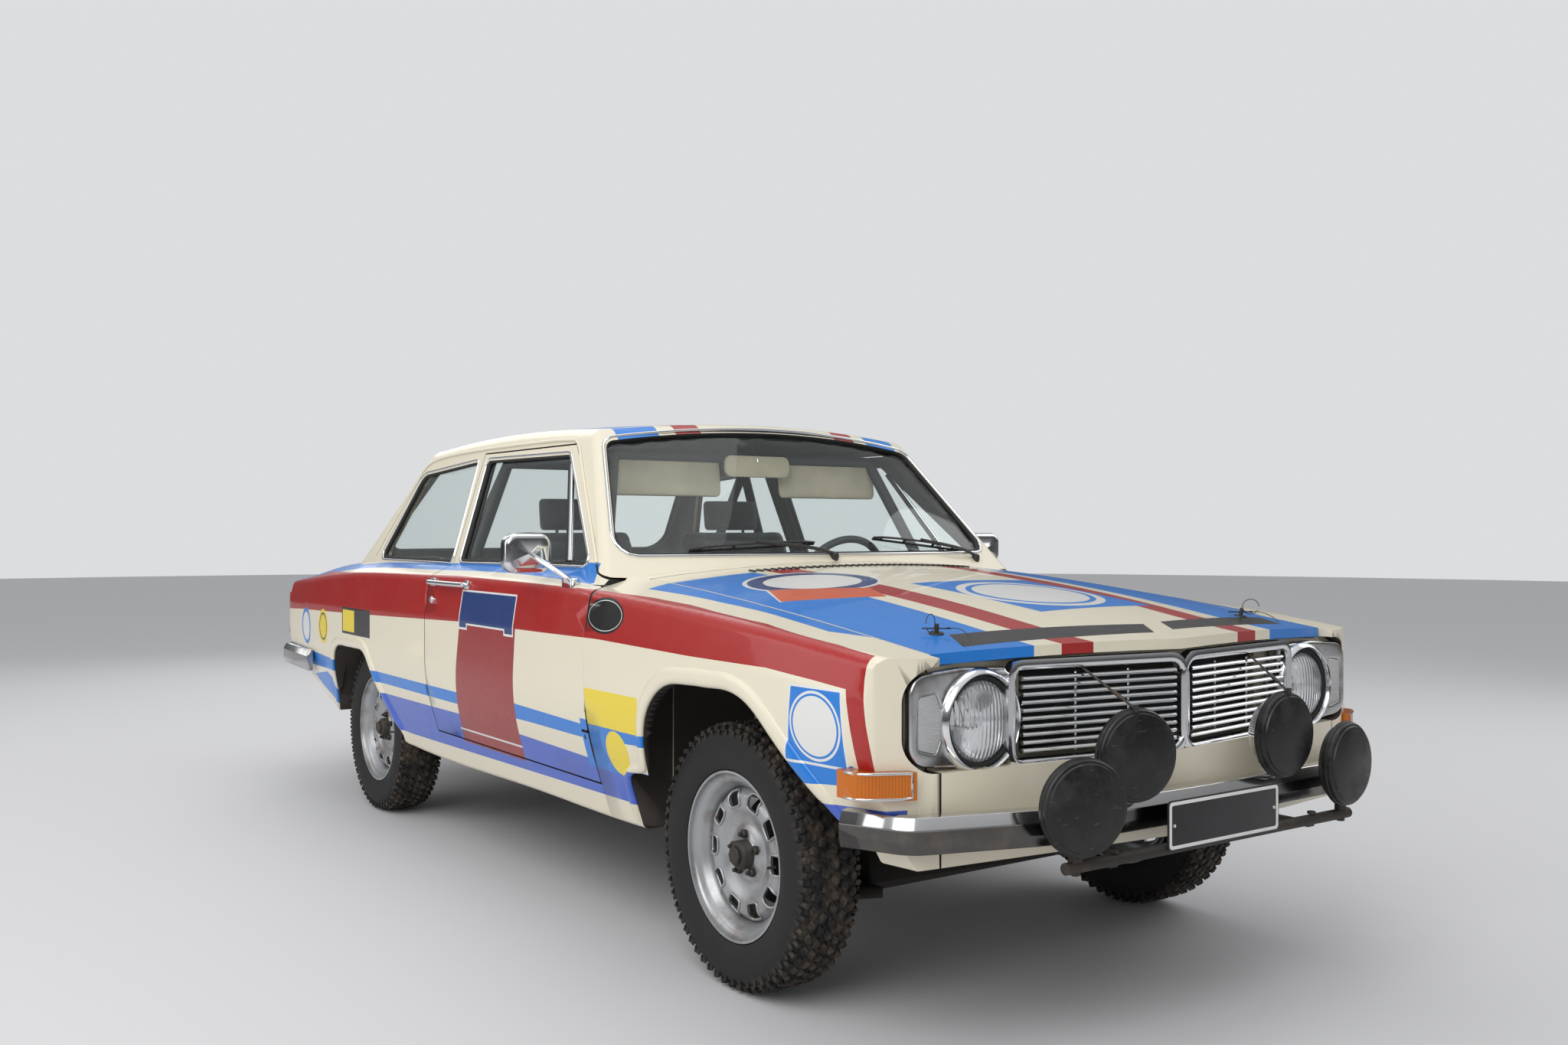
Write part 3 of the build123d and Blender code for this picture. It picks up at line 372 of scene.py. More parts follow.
def solid_box(work, low, high, bevel=0.0, segments=2, turn=None, about=None):
    """A box from its lowest and highest corners, with rounded edges."""
    made = bmesh.ops.create_cube(work, size=1)["verts"]
    low, high = Vector(low), Vector(high)
    middle = (low + high) / 2
    span = high - low
    for v in made:
        v.co = Vector([v.co[i] * span[i] for i in range(3)]) + middle
    if bevel:
        edges = list({e for v in made for e in v.link_edges})
        made = bmesh.ops.bevel(work, geom=edges, offset=bevel, segments=segments, affect="EDGES",
                               profile=0.5)["verts"]
    if turn:
        bmesh.ops.rotate(work, verts=made, cent=about or middle, matrix=turn)
    return made


# What a user would change

def tint(name, text, color):
    return FloatVectorProperty(name=name, description=text, subtype="COLOR", default=color, min=0, max=1)


def length(name, text, value, most):
    return FloatProperty(name=name, description=text, default=value, min=0.002, max=most, unit="LENGTH")


def number(name, text, value, least, most):
    return IntProperty(name=name, description=text, default=value, min=least, max=most)


class CarColors(bpy.types.PropertyGroup):
    cream: tint("Cream", "Paint of the body", (0.76, 0.70, 0.55))
    blue: tint("Blue", "Blue stripes and panels", (0.0, 0.180, 0.62))
    red: tint("Red", "Red stripes", (0.36, 0.006, 0.004))
    yellow: tint("Yellow", "Yellow sticker fields", (0.80, 0.62, 0.02))
    amber: tint("Amber", "Lenses of the indicators", (0.75, 0.20, 0.01))
    floor: tint("Floor", "Floor and backdrop", (0.62, 0.62, 0.63))


class CarSizes(bpy.types.PropertyGroup):
    trim: length("Trim", "Radius of the bright trim round the windows", 0.007, 0.02)
    gasket: length("Gasket", "Radius of the rubber round the windows", 0.009, 0.02)
    tread: length("Tread", "Depth of the tread", 0.009, 0.015)
    lugs: number("Lugs", "Tread blocks round the tyre in each row", 58, 24, 90)
    grille_bars: number("Grille bars", "Bars in each half of the grille", 10, 4, 16)
    cowl_slots: number("Cowl slots", "Air slots ahead of the windscreen", 36, 8, 60)
    wheel_nuts: number("Wheel nuts", "Nuts round each hub", 5, 3, 8)


# Finishes

def worn_metal(name, color, rough, scratch=0.06, metal=1.0, dirt=None):
    """Bright metal whose gloss and color vary a little over the surface."""
    f = Finish(name, color, rough=rough, metal=metal)
    cloud = f.noise(6.0)
    fine = f.noise(90.0, detail=4)
    f.put("Roughness", cloud * scratch + fine * scratch + (rough - scratch / 2))
    if dirt:
        mask = f.rise(f.noise(14.0, detail=5, rough=0.65), 0.5, 0.72)
        f.put("Base Color", f.mix(mask * 0.65, color, dirt))
    return f


BUMPER_EDGE = 0.512


def bumper_metal():
    """Chrome with a painted dark reflection, mottled brown, on its face below the top edge."""
    f = Finish("Bumper metal", (0.5, 0.5, 0.5), rough=0.16, metal=1.0)
    _, _, _, z = f.place()
    # Painted reflection: below the top edge the base colour turns dark, as the chrome would mirror dark
    # surroundings.
    face = f.ramp((z - BUMPER_EDGE) * 60, (0.30, (1, 1, 1)), (0.60, (0, 0, 0)))
    spots = f.rise(f.noise(18.0, detail=6, rough=0.7), 0.48, 0.70)
    painted_dark_reflection = f.mix(spots * 0.5, (0.12, 0.115, 0.11), (0.22, 0.18, 0.14))
    f.put("Base Color", f.mix(face, (0.66, 0.66, 0.66), painted_dark_reflection))
    f.put("Roughness", f.noise(40.0) * 0.10 + face * 0.06 + 0.08)
    return f


def rubber(name, color, rough=0.75, grain=140.0):
    f = Finish(name, color, rough=rough)
    cloud = f.noise(9.0, detail=4)
    lighter = tuple(min(1, c * 1.9 + 0.01) for c in color)
    f.put("Base Color", f.mix(cloud, color, lighter))
    f.bump(f.noise(grain), 0.25, 0.0006)
    return f


def dusty_cover():
    """Black plastic covers with wiped dust and a few pale scuffs."""
    f = Finish("Lamp cover", (0.012, 0.0115, 0.0115), rough=0.42)
    dust = f.rise(f.noise(11.0, detail=6, rough=0.72), 0.46, 0.68)
    scuffs = f.rise(f.noise(34.0, detail=3, rough=0.6, stretch=(1, 1, 3.5)), 0.66, 0.70)
    tone = f.mix(dust * 0.75, (0.0065, 0.0065, 0.0065), (0.034, 0.033, 0.031))
    f.put("Base Color", f.mix(scuffs * 0.35, tone, (0.12, 0.115, 0.11)))
    f.put("Roughness", dust * 0.30 + 0.34)
    f.bump(f.noise(60.0), 0.2, 0.0005)
    return f


def lens(name, color, rough=0.05, pitch=0.0, axis=1, through=0.9):
    """Clear or coloured moulded glass, with flutes across an axis."""
    f = Finish(name, color, rough=rough, IOR=1.45, Transmission_Weight=through)
    if pitch:
        _, *xyz = f.place()
        wave = (xyz[axis] * (math.tau / pitch)).math("SINE")
        f.bump(wave, 0.45, 0.001)
    return f


def window_glass():
    """Clear panes that show what is behind them straight, under a faint reflection."""
    f = Finish("Window glass", (0.90, 0.95, 0.94), rough=0.0, coat=0.55, IOR=1.0, Transmission_Weight=1.0)
    f.put("Coat Roughness", 0.0)
    return f


def cloth(name, color, thread=0.0016):
    f = Finish(name, color, rough=0.9, Sheen_Weight=0.25)
    _, x, y, z = f.place()
    k = math.tau / thread / 2
    weave = (x * k).math("SINE") * (y * k + z * k).math("SINE")
    cloud = f.noise(5.0, detail=4)
    f.put("Base Color", f.mix(cloud, color, tuple(c * 1.6 + 0.004 for c in color)))
    f.bump(weave, 0.3, 0.0006)
    return f


def make_finishes(colors):
    chrome = (0.78, 0.79, 0.80)
    FINISHES.update({
        "livery": livery(colors),
        "cream": paint("Cream paint", tuple(colors.cream)),
        "chrome": worn_metal("Chrome", chrome, 0.10),
        "old_chrome": worn_metal("Worn chrome", (0.55, 0.55, 0.55), 0.22, dirt=(0.16, 0.12, 0.09)),
        "wheel": worn_metal("Silver wheel paint", (0.42, 0.43, 0.44), 0.36, metal=0.75,
                            dirt=(0.22, 0.16, 0.12)),
        "dark_iron": worn_metal("Dark iron", (0.06, 0.055, 0.05), 0.6, metal=0.6, dirt=(0.13, 0.09, 0.06)),
        "steel": worn_metal("Steel pipe", (0.28, 0.26, 0.24), 0.45, metal=0.9, dirt=(0.12, 0.08, 0.05)),
        "bumper": bumper_metal(),
        "tyre": tyre_rubber(),
        "rubber": rubber("Black rubber", (0.012, 0.012, 0.012)),
        "black": rubber("Black moulding", (0.014, 0.014, 0.015), rough=0.42),
        "cover": dusty_cover(),
        "lining": rubber("Dark lining", (0.02, 0.019, 0.018), rough=0.85),
        "beige": rubber("Beige lining", (0.36, 0.31, 0.22), rough=0.8),
        "underseal": rubber("Underseal", (0.03, 0.024, 0.02), rough=0.9, grain=45.0),
        "glass": window_glass(),
        "lamp_glass": lens("Fluted lamp glass", (0.95, 0.96, 0.97), rough=0.03, pitch=0.011),
        "clear_lens": lens("Clear lens", (0.85, 0.86, 0.86), rough=0.25, pitch=0.004, axis=2, through=0.55),
        "amber": lens("Amber lens", tuple(colors.amber), rough=0.12, pitch=0.006, through=0.35),
        "red_lens": lens("Red lens", (0.45, 0.008, 0.006), rough=0.12, pitch=0.007, axis=2, through=0.3),
        "cloth": cloth("Seat cloth", (0.018, 0.018, 0.02)),
        "cage": rubber("Cage padding", (0.011, 0.011, 0.012), rough=0.6, grain=30.0),
        "plate": rubber("Black plate", (0.008, 0.008, 0.009), rough=0.35),
        "white": paint("White paint", (0.74, 0.74, 0.72)),
        "blue": paint("Blue paint", tuple(colors.blue)),
        "silver_backing": worn_metal("Reflector", (0.9, 0.9, 0.9), 0.06),
        "iron": worn_metal("Cast iron", (0.10, 0.10, 0.105), 0.65, metal=0.7, dirt=(0.05, 0.035, 0.025)),
    })


def paint(name, color):
    """Old gloss paint under a clear coat, with the faint dust and swirls of years."""
    f = Finish(name, color, rough=0.34, coat=0.6)
    f.put("Coat Roughness", 0.06)
    weathered(f, color)
    return f


def weathered(f, color):
    dust = f.rise(f.noise(4.5, detail=6, rough=0.7), 0.45, 0.85)
    f.put("Base Color", f.mix(dust * 0.05, color, (0.45, 0.39, 0.30)))
    f.put("Roughness", f.noise(30.0, detail=4) * 0.16 + 0.26)


def tyre_rubber():
    """Tyre rubber, with dried mud in the tread and faint rings on the sidewall."""
    f = Finish("Tyre rubber", (0.010, 0.010, 0.010), rough=0.7)
    _, x, _, z = f.place()
    near = (x - (AXLE + REAR_AXLE) / 2) > 0
    dx = x - near * (AXLE - REAR_AXLE) - REAR_AXLE
    radius = (dx ** 2 + (z - WHEEL_Z) ** 2) ** 0.5
    patches = f.rise(f.noise(22.0, detail=6, rough=0.7), 0.44, 0.62)
    tread = f.rise((radius - 0.285) * 22, 0.0, 1.0)
    haze = f.noise(7.0, detail=3)
    rubbery = f.mix(haze * 0.8, (0.0055, 0.0055, 0.0055), (0.015, 0.0145, 0.014))
    f.put("Base Color", f.mix(patches * tread * 0.8, rubbery, (0.12, 0.088, 0.06)))
    rings = (radius * (math.tau / 0.0075)).math("SINE")
    f.bump(rings * 0.5 + f.noise(80.0), 0.25, 0.0008)
    return f


# Livery

# Heights of the lines along the flank: metres from the front axle, metres above the ground
RED_TOP = [(-3.95, 0.925), (-3.30, 0.938), (-2.346, 0.958), (-1.585, 0.969), (-0.969, 0.964),
           (-0.596, 0.959), (-0.324, 0.949), (-0.138, 0.938), (0.207, 0.910), (0.488, 0.881), (0.66, 0.860)]
RED_FOOT = [(-3.95, 0.745), (-3.417, 0.768), (-2.433, 0.794), (-1.503, 0.820), (-0.910, 0.824),
            (-0.521, 0.828), (-0.041, 0.819), (0.283, 0.818), (0.449, 0.806), (0.66, 0.786)]
FIRST_TOP = [(-3.95, 0.600), (-3.374, 0.598), (-2.888, 0.582), (-1.531, 0.581), (-1.154, 0.595),
             (-0.639, 0.584), (-0.328, 0.591), (0.353, 0.621), (0.80, 0.650)]
FIRST_FOOT = [(-3.95, 0.520), (-3.374, 0.530), (-2.282, 0.541), (-1.552, 0.540), (-1.008, 0.547),
              (-0.654, 0.545), (-0.340, 0.561), (0.405, 0.577), (0.80, 0.611)]
SECOND_TOP = [(-3.95, 0.490), (-1.575, 0.506), (-0.688, 0.489), (-0.410, 0.482), (0.439, 0.538),
              (0.80, 0.559)]
SECOND_FOOT = [(-3.95, 0.380), (-2.124, 0.367), (-0.320, 0.391), (0.545, 0.457), (0.80, 0.490)]
SHOULDER = [(-0.62, 0.775), (-0.41, 0.762), (-0.236, 0.747), (0.096, 0.733), (0.36, 0.742), (0.46, 0.692),
            (0.75, 0.690)]
# Where the bonnet, the nose above its panel, the roof and the boot lid start, and what looks up
BONNET_REAR, DECK_Z, ROOF_Z, BOOT_FRONT = -0.425, 0.78, 1.2, -2.85
NOSE_X, NOSE_Y, NOSE_Z = 0.60, 0.690, 0.842
LOOKS_UP = 0.45
# Distances from the middle: the red stripe's edges, and the blue field's inner and outer edges
STRIPE_IN, STRIPE_OUT = 0.27, 0.36
BLUE_IN, ROOF_BLUE, BOOT_BLUE = 0.42, 0.56, 0.80
DARK_BLUE = (0.012, 0.040, 0.170)
SOFT_WHITE = (0.72, 0.72, 0.70)
STICKER_BLACK = (0.008, 0.008, 0.009)
ORANGE = (0.62, 0.10, 0.03)
# Fields on the flank, in x and z: an outline's corners, or an oval's centre and half sizes
FLANK_FIELDS = [
    ([(-1.498, 0.840), (-1.057, 0.840), (-1.104, 0.410), (-1.590, 0.410)], "panel"),
    ([(-1.592, 0.458), (-1.098, 0.458), (-1.099, 0.452), (-1.592, 0.452)], SOFT_WHITE),
    ([(-1.512, 0.926), (-1.074, 0.926), (-1.074, 0.812), (-1.512, 0.812)], SOFT_WHITE),
    ([(-1.505, 0.920), (-1.081, 0.920), (-1.081, 0.818), (-1.505, 0.818)], DARK_BLUE),
    ([(-1.512, 0.814), (-1.440, 0.814), (-1.440, 0.796), (-1.512, 0.796)], SOFT_WHITE),
    ([(-1.505, 0.820), (-1.447, 0.820), (-1.447, 0.803), (-1.505, 0.803)], DARK_BLUE),
    ([(-1.146, 0.814), (-1.074, 0.814), (-1.074, 0.796), (-1.146, 0.796)], SOFT_WHITE),
    ([(-1.139, 0.820), (-1.081, 0.820), (-1.081, 0.803), (-1.139, 0.803)], DARK_BLUE),
    ((-0.496, 0.893, 0.104, 0.049), STICKER_BLACK),
    ((-0.496, 0.893, 0.095, 0.042), SOFT_WHITE),
    ((-0.496, 0.893, 0.092, 0.040), STICKER_BLACK),
    ([(-0.640, 0.600), (-0.410, 0.600), (-0.410, 0.465), (-0.640, 0.465)], "blue"),
    ([(-0.600, 0.690), (-0.300, 0.690), (-0.300, 0.590), (-0.600, 0.590)], "yellow"),
    ((-0.444, 0.526, 0.062, 0.060), "yellow"),
    ([(0.374, 0.793), (0.548, 0.793), (0.557, 0.622), (0.354, 0.620)], SOFT_WHITE),
    ([(0.380, 0.787), (0.542, 0.787), (0.550, 0.628), (0.360, 0.626)], "blue"),
    ((0.458, 0.707, 0.084, 0.076), SOFT_WHITE),
    ((0.458, 0.707, 0.078, 0.070), "blue"),
    ((0.458, 0.707, 0.072, 0.065), SOFT_WHITE),
    ((-3.337, 0.698, 0.080, 0.080), "blue"),
    ((-3.337, 0.698, 0.062, 0.062), SOFT_WHITE),
    ((-3.043, 0.713, 0.073, 0.073), "yellow"),
    ((-3.043, 0.713, 0.058, 0.058), STICKER_BLACK),
    ((-3.043, 0.713, 0.050, 0.050), "yellow"),
    ([(-2.760, 0.810), (-2.406, 0.810), (-2.406, 0.704), (-2.760, 0.704)], STICKER_BLACK),
    ([(-2.750, 0.800), (-2.600, 0.800), (-2.600, 0.714), (-2.750, 0.714)], "yellow"),
    ([(-3.322, 0.498), (-3.052, 0.530), (-2.952, 0.492), (-2.952, 0.352), (-3.240, 0.440)], SOFT_WHITE),
    ([(-3.309, 0.488), (-3.063, 0.519), (-2.966, 0.486), (-2.966, 0.364), (-3.228, 0.451)], "blue"),
]
# Fields on the bonnet, in x and y
BONNET_FIELDS = [
    ([(-0.021, -0.178), (0.412, -0.123), (0.378, 0.326), (-0.038, 0.263)], "blue"),
    ((0.190, 0.065, 0.180, 0.215), SOFT_WHITE),
    ((0.190, 0.065, 0.155, 0.190), "blue"),
    ((0.190, 0.065, 0.140, 0.172), SOFT_WHITE),
    ((-0.180, -0.390, 0.170, 0.200), SOFT_WHITE),
    ((-0.180, -0.390, 0.158, 0.187), DARK_BLUE),
    ((-0.180, -0.390, 0.118, 0.142), SOFT_WHITE),
    ([(-0.139, -0.575), (0.024, -0.641), (0.022, -0.610), (0.008, -0.600), (-0.133, -0.569)], SOFT_WHITE),
    ([(-0.133, -0.569), (0.019, -0.634), (0.116, -0.373), (-0.010, -0.330)], ORANGE),
    ([(0.519, -0.525), (0.622, -0.576), (0.666, -0.005), (0.581, 0.055)], STICKER_BLACK),
    ([(0.566, 0.136), (0.647, 0.085), (0.600, 0.580), (0.500, 0.630)], STICKER_BLACK),
]


def inside(u, v, field):
    """1 inside a convex outline of u, v corners, or inside an oval, and 0 outside."""
    if isinstance(field, tuple):
        middle_u, middle_v, half_u, half_v = field
        return ((u - middle_u) / half_u) ** 2 + ((v - middle_v) / half_v) ** 2 < 1
    ends = list(zip(field, field[1:] + field[:1]))
    way = math.copysign(1, sum(a[0] * b[1] - b[0] * a[1] for a, b in ends))
    mask = None
    for (a, b), (c, d) in ends:
        edge = (v - b) * (way * (c - a)) - (u - a) * (way * (d - b)) > 0
        mask = edge if mask is None else mask & edge
    return mask


def livery(colors):
    """The body's paint: cream, with the stripes, the number panels and the plain sticker fields."""
    chosen = (colors.cream, colors.blue, colors.red, colors.yellow)
    cream, blue, red, yellow = (tuple(tone) for tone in chosen)
    second = tuple(0.55 * b + 0.45 * v for b, v in zip(blue, (0.10, 0.03, 0.42)))
    panel = tuple(0.80 * tone for tone in red)
    named = {"blue": blue, "yellow": yellow, "panel": panel}
    f = Finish("Livery", cream, rough=0.36, coat=0.35)
    f.put("Coat Roughness", 0.05)
    _, along, across, z = f.place()
    x = along - AXLE
    wide = abs(across)
    normal = f.add("ShaderNodeNewGeometry", out="Normal")
    split = f.add("ShaderNodeSeparateXYZ", values=[normal])
    up = Wire(f, split.socket.node.outputs[2])
    top = up > LOOKS_UP

    bonnet = top & (x > BONNET_REAR) & (z > DECK_Z) | (x > NOSE_X) & (z > NOSE_Z) & (wide < NOSE_Y)
    roof = top & (z > ROOF_Z)
    boot = top & (x < BOOT_FRONT) & (z > DECK_Z)
    line_in = x * -0.013 + 0.267
    line_out = x * -0.025 + 0.363
    stripe = (wide > line_in) & (wide < line_out) & bonnet
    stripe = stripe | ((wide > STRIPE_IN) & (wide < STRIPE_OUT) & (roof | boot))
    blue_top = (wide > BLUE_IN) & (wide < f.curve(x, SHOULDER)) & bonnet
    blue_top = blue_top | ((wide > BLUE_IN) & (roof & (wide < ROOF_BLUE) | boot & (wide < BOOT_BLUE)))
    tone = f.mix(blue_top, cream, blue)
    tone = f.mix(stripe, tone, red)

    side = (wide > FLANK_Y) & (z < 1.0)
    belt = (wide > 0.762) & (wide < 0.803) & (z > 0.93) & (z < 1.03) & (x < -0.685) & (x > -3.90)
    tone = f.mix(belt, tone, blue)
    red_band = (z > f.curve(x, RED_FOOT)) & (z < f.curve(x, RED_TOP))
    red_band = red_band & (x < 0.607) & (x > -3.88) & (wide > 0.775)
    leg = inside(x, z, [(0.556, 0.81), (0.607, 0.82), (0.632, 0.60), (0.590, 0.60)]) & side
    tone = f.mix(red_band | leg, tone, red)
    first = (z > f.curve(x, FIRST_FOOT)) & (z < f.curve(x, FIRST_TOP)) & side & (x < 0.570)
    tone = f.mix(first, tone, blue)
    low = (z > f.curve(x, SECOND_FOOT)) & (z < f.curve(x, SECOND_TOP)) & side & (x > -2.60) & (x < 0.66)
    tone = f.mix(low, tone, second)
    for field, hue in FLANK_FIELDS:
        tone = f.mix(inside(x, z, field) & side, tone, named.get(hue, hue))
    for field, hue in BONNET_FIELDS:
        tone = f.mix(inside(x, across, field) & bonnet, tone, named.get(hue, hue))
    weathered(f, tone)
    return f


# Body panels

PANELS = ["body_shell", "roof", "front_wings", "bonnet", "boot_lid", "door_right", "door_left", "nose_panel"]
LINED = {"body_shell", "roof", "door_right", "door_left"}
OPEN_FITTINGS = {"driving_lamps", "front_bumper", "rear_bumper", "front_plate", "rear_plate", "signal_lamps",
                 "mirror_right", "mirror_left", "headlamps", "headlamp_bezels", "exhaust"}


# Panel faces: those that look down, those on the flank, those round the cabin, and those low in the bays
LOOKS_DOWN = -0.7
FLANK_FROM, FLANK_TURN = 0.74, 0.25
CABIN_REAR, CABIN_FRONT = -1.35, 0.97
BAY_LOW, BAY_SIDE, BAY_SIDE_LOW = 0.62, 0.44, 0.75


def sight_tree():
    """One search tree of the closed body, to tell which faces look out into the open."""
    points, faces = [], []
    for label, node in NODES.items():
        if label in OPEN_FITTINGS:
            continue
        start = len(points)
        points += [v.co.copy() for v in node.data.vertices]
        faces += [[start + i for i in p.vertices] for p in node.data.polygons]
    return BVHTree.FromPolygons(points, faces)


def voted(mesh, choices, bend=22):
    """One choice for each smooth region of faces: the one that holds most of its area."""
    work = bmesh.new()
    work.from_mesh(mesh)
    work.faces.ensure_lookup_table()
    todo = set(range(len(work.faces)))
    while todo:
        region, stack = [], [todo.pop()]
        while stack:
            face = work.faces[stack.pop()]
            region.append(face)
            for edge in face.edges:
                for other in edge.link_faces:
                    if other.index in todo and face.normal.angle(other.normal, 0) < math.radians(bend):
                        todo.discard(other.index)
                        stack.append(other.index)
        weights = {}
        for face in region:
            weights[choices[face.index]] = weights.get(choices[face.index], 0) + face.calc_area()
        winner = max(weights, key=weights.get)
        for face in region:
            choices[face.index] = winner
    work.free()
    return choices


def paint_panel(node, tree):
    """A painted copy of a panel: livery where it faces the open, lining or underseal elsewhere."""
    piece = tidy_copy(node, "paint_" + node, smooth=28)
    mesh = piece.data
    for key in ("livery", "underseal", "beige" if node == "roof" else "lining", "cream"):
        mesh.materials.append(finish(key).material)
    choices = []
    for face in mesh.polygons:
        out = face.normal
        start = face.center + out * 0.0015
        side = math.copysign(1, face.center.y)
        free = tree.ray_cast(start, out, 3.0)[0] is None
        if not free and abs(face.center.y) > FLANK_FROM and out.y * side > FLANK_TURN:
            free = tree.ray_cast(start, Vector((0, side, 0)), 1.0)[0] is None
        if out.z < LOOKS_DOWN:
            choices.append(1)
        elif free:
            choices.append(0)
        elif node in LINED and CABIN_REAR < face.center.x < CABIN_FRONT:
            choices.append(2)
        elif face.center.z < BAY_LOW or abs(face.center.y) > BAY_SIDE and face.center.z < BAY_SIDE_LOW:
            choices.append(1)
        else:
            choices.append(3)
    for face, choice in zip(mesh.polygons, voted(mesh, choices)):
        face.material_index = choice
    even_light = piece.modifiers.new("even light", "WEIGHTED_NORMAL")
    even_light.keep_sharp = True
    return stand_for(piece, node)


def rim_loops(node, facing):
    """The outlines of a pane's outer face, as closed lists of points."""
    work = bmesh.new()
    work.from_mesh(NODES[node].data)
    bmesh.ops.remove_doubles(work, verts=work.verts, dist=MERGE)
    work.normal_update()
    loops = []
    todo = {face for face in work.faces if facing(face)}
    while todo:
        seed = max(todo, key=lambda face: face.calc_area())
        region, stack = {seed}, [seed]
        while stack:
            face = stack.pop()
            for edge in face.edges:
                for other in edge.link_faces:
                    if other not in region and face.normal.angle(other.normal, 0) < math.radians(30):
                        region.add(other)
                        stack.append(other)
        todo -= region
        if sum(face.calc_area() for face in region) < 0.02:
            continue
        follow = {}
        for face in region:
            for edge in face.edges:
                if sum(other in region for other in edge.link_faces) == 1:
                    v, w = edge.verts
                    follow.setdefault(v, []).append(w)
                    follow.setdefault(w, []).append(v)
        start = next(iter(follow))
        loop, last, here = [start], None, start
        while True:
            ahead = [v for v in follow[here] if v is not last]
            if not ahead or ahead[0] is start or len(loop) > len(follow):
                break
            last, here = here, ahead[0]
            loop.append(here)
        loops.append([v.co.copy() for v in loop])
    work.free()
    return loops


def even(loop, count):
    """A closed loop resampled to points at even distances."""
    total = sum((b - a).length for a, b in zip(loop, loop[1:] + loop[:1]))
    step = total / count
    points, left = [], 0.0
    for a, b in zip(loop, loop[1:] + loop[:1]):
        length = (b - a).length
        while left < length and len(points) < count:
            points.append(a.lerp(b, left / length))
            left += step
        left -= length
    return points


def ring_bar(work, loop, half_wide, half_high, spread=0.0, lift=0.0, sides=8):
    """A rounded bar round a closed loop of points, moved outwards by spread and off the pane by lift."""
    count = len(loop)
    middle = sum(loop, Vector()) / count
    flat = Vector()
    for a, b in zip(loop, loop[1:] + loop[:1]):
        flat += (a - middle).cross(b - middle)
    flat.normalize()
    if flat.dot(middle - Vector((0, 0, 0.6))) < 0:
        flat = -flat
    rings = []
    far = max(range(count), key=lambda i: (loop[i] - middle).length)
    ahead = loop[(far + 1) % count] - loop[far - 1]
    side = math.copysign(1, ahead.cross(flat).dot(loop[far] - middle))
    for i, point in enumerate(loop):
        ahead = (loop[(i + 1) % count] - loop[i - 1]).normalized()
        across = ahead.cross(flat).normalized() * side
        over = across.cross(ahead).normalized()
        if over.dot(flat) < 0:
            over = -over
        centre = point + across * spread + over * lift
        wide, high = half_wide * across, half_high * over
        rings.append([work.verts.new(centre + math.cos(a) * wide + math.sin(a) * high)
                      for a in (math.tau * j / sides for j in range(sides))])
    skin(work, rings, around=True)
    return work


PANES = [
    ("windscreen", lambda f: f.normal.x > 0.4),
    ("rear_window", lambda f: f.normal.x < -0.4),
    ("quarter_windows", lambda f: abs(f.normal.y) > 0.4 and f.normal.y * f.calc_center_median().y > 0),
    ("door_glass_right", lambda f: f.normal.y < -0.4),
    ("door_glass_left", lambda f: f.normal.y > 0.4),
]


def glaze(sizes):
    """The panes with smooth faces, each in its rubber and its bright trim."""
    for node, outer_face in PANES:
        pane = tidy_copy(node, "pane_" + node, smooth=40)
        finish("glass").use(pane)
        stand_for(pane, node)
        loops = rim_loops(node, outer_face)
        rubber_ring, bright = bmesh.new(), bmesh.new()
        for loop in loops:
            points = even(loop, 140)
            ring_bar(rubber_ring, points, sizes.gasket, sizes.gasket * 0.9, spread=-0.002, lift=0.002)
            ring_bar(bright, points, sizes.trim * 0.75, sizes.trim, spread=0.006, lift=0.009)
        for work, label, key in ((rubber_ring, "gasket_", "rubber"), (bright, "trim_", "chrome")):
            ring = closed_piece(label + node, work, finish(key), smooth=60)
            fix(ring, BODY_OF[node])


# Wheels and tyres

WHEELS = {end + "_" + label: (x, side)
          for end, x in (("front", AXLE), ("rear", REAR_AXLE)) for side, label in SIDES}
CARCASS = [(0.190, 0.052), (0.205, 0.061), (0.212, 0.0745), (0.222, 0.0795), (0.245, 0.0843), (0.270, 0.0850),
           (0.290, 0.0825), (0.304, 0.0755), (0.3135, 0.066), (0.3170, 0.052), (0.3175, 0.0)]
# Rows of lugs: distance from the tyre's middle, radius, length round the tyre, width, height,
# turn and half-step
LUG_ROWS = [
    (0.000, 0.3215, 0.030, 0.024, 0.010, 0.5, 0.0),
    (0.027, 0.3215, 0.028, 0.022, 0.010, -0.5, 0.5),
    (0.0525, 0.3205, 0.027, 0.020, 0.010, 0.5, 0.0),
    (0.0705, 0.3125, 0.017, 0.022, 0.013, 0.0, 0.5),
    (0.0795, 0.2985, 0.015, 0.008, 0.021, 0.0, 0.0),
]
LUG_SHAPE = {"Vertices": 6, "Radius Top": 0.42, "Radius Bottom": 0.55, "Depth": 1.0}

WHEEL_FACE = [(0.092, 0.026), (0.115, 0.038), (0.145, 0.040), (0.155, 0.030), (0.169, 0.014)]
SLOT_COUNT, SLOT_RING, SLOT_HIGH, SLOT_WIDE = 10, 0.137, 0.0205, 0.0245


def face_height(radius):
    """How far the wheel's face stands out from its middle plane at a radius."""
    for (r0, h0), (r1, h1) in zip(WHEEL_FACE, WHEEL_FACE[1:]):
        if radius <= r1:
            return h0 + (h1 - h0) * (radius - r0) / (r1 - r0)
    return WHEEL_FACE[-1][1]


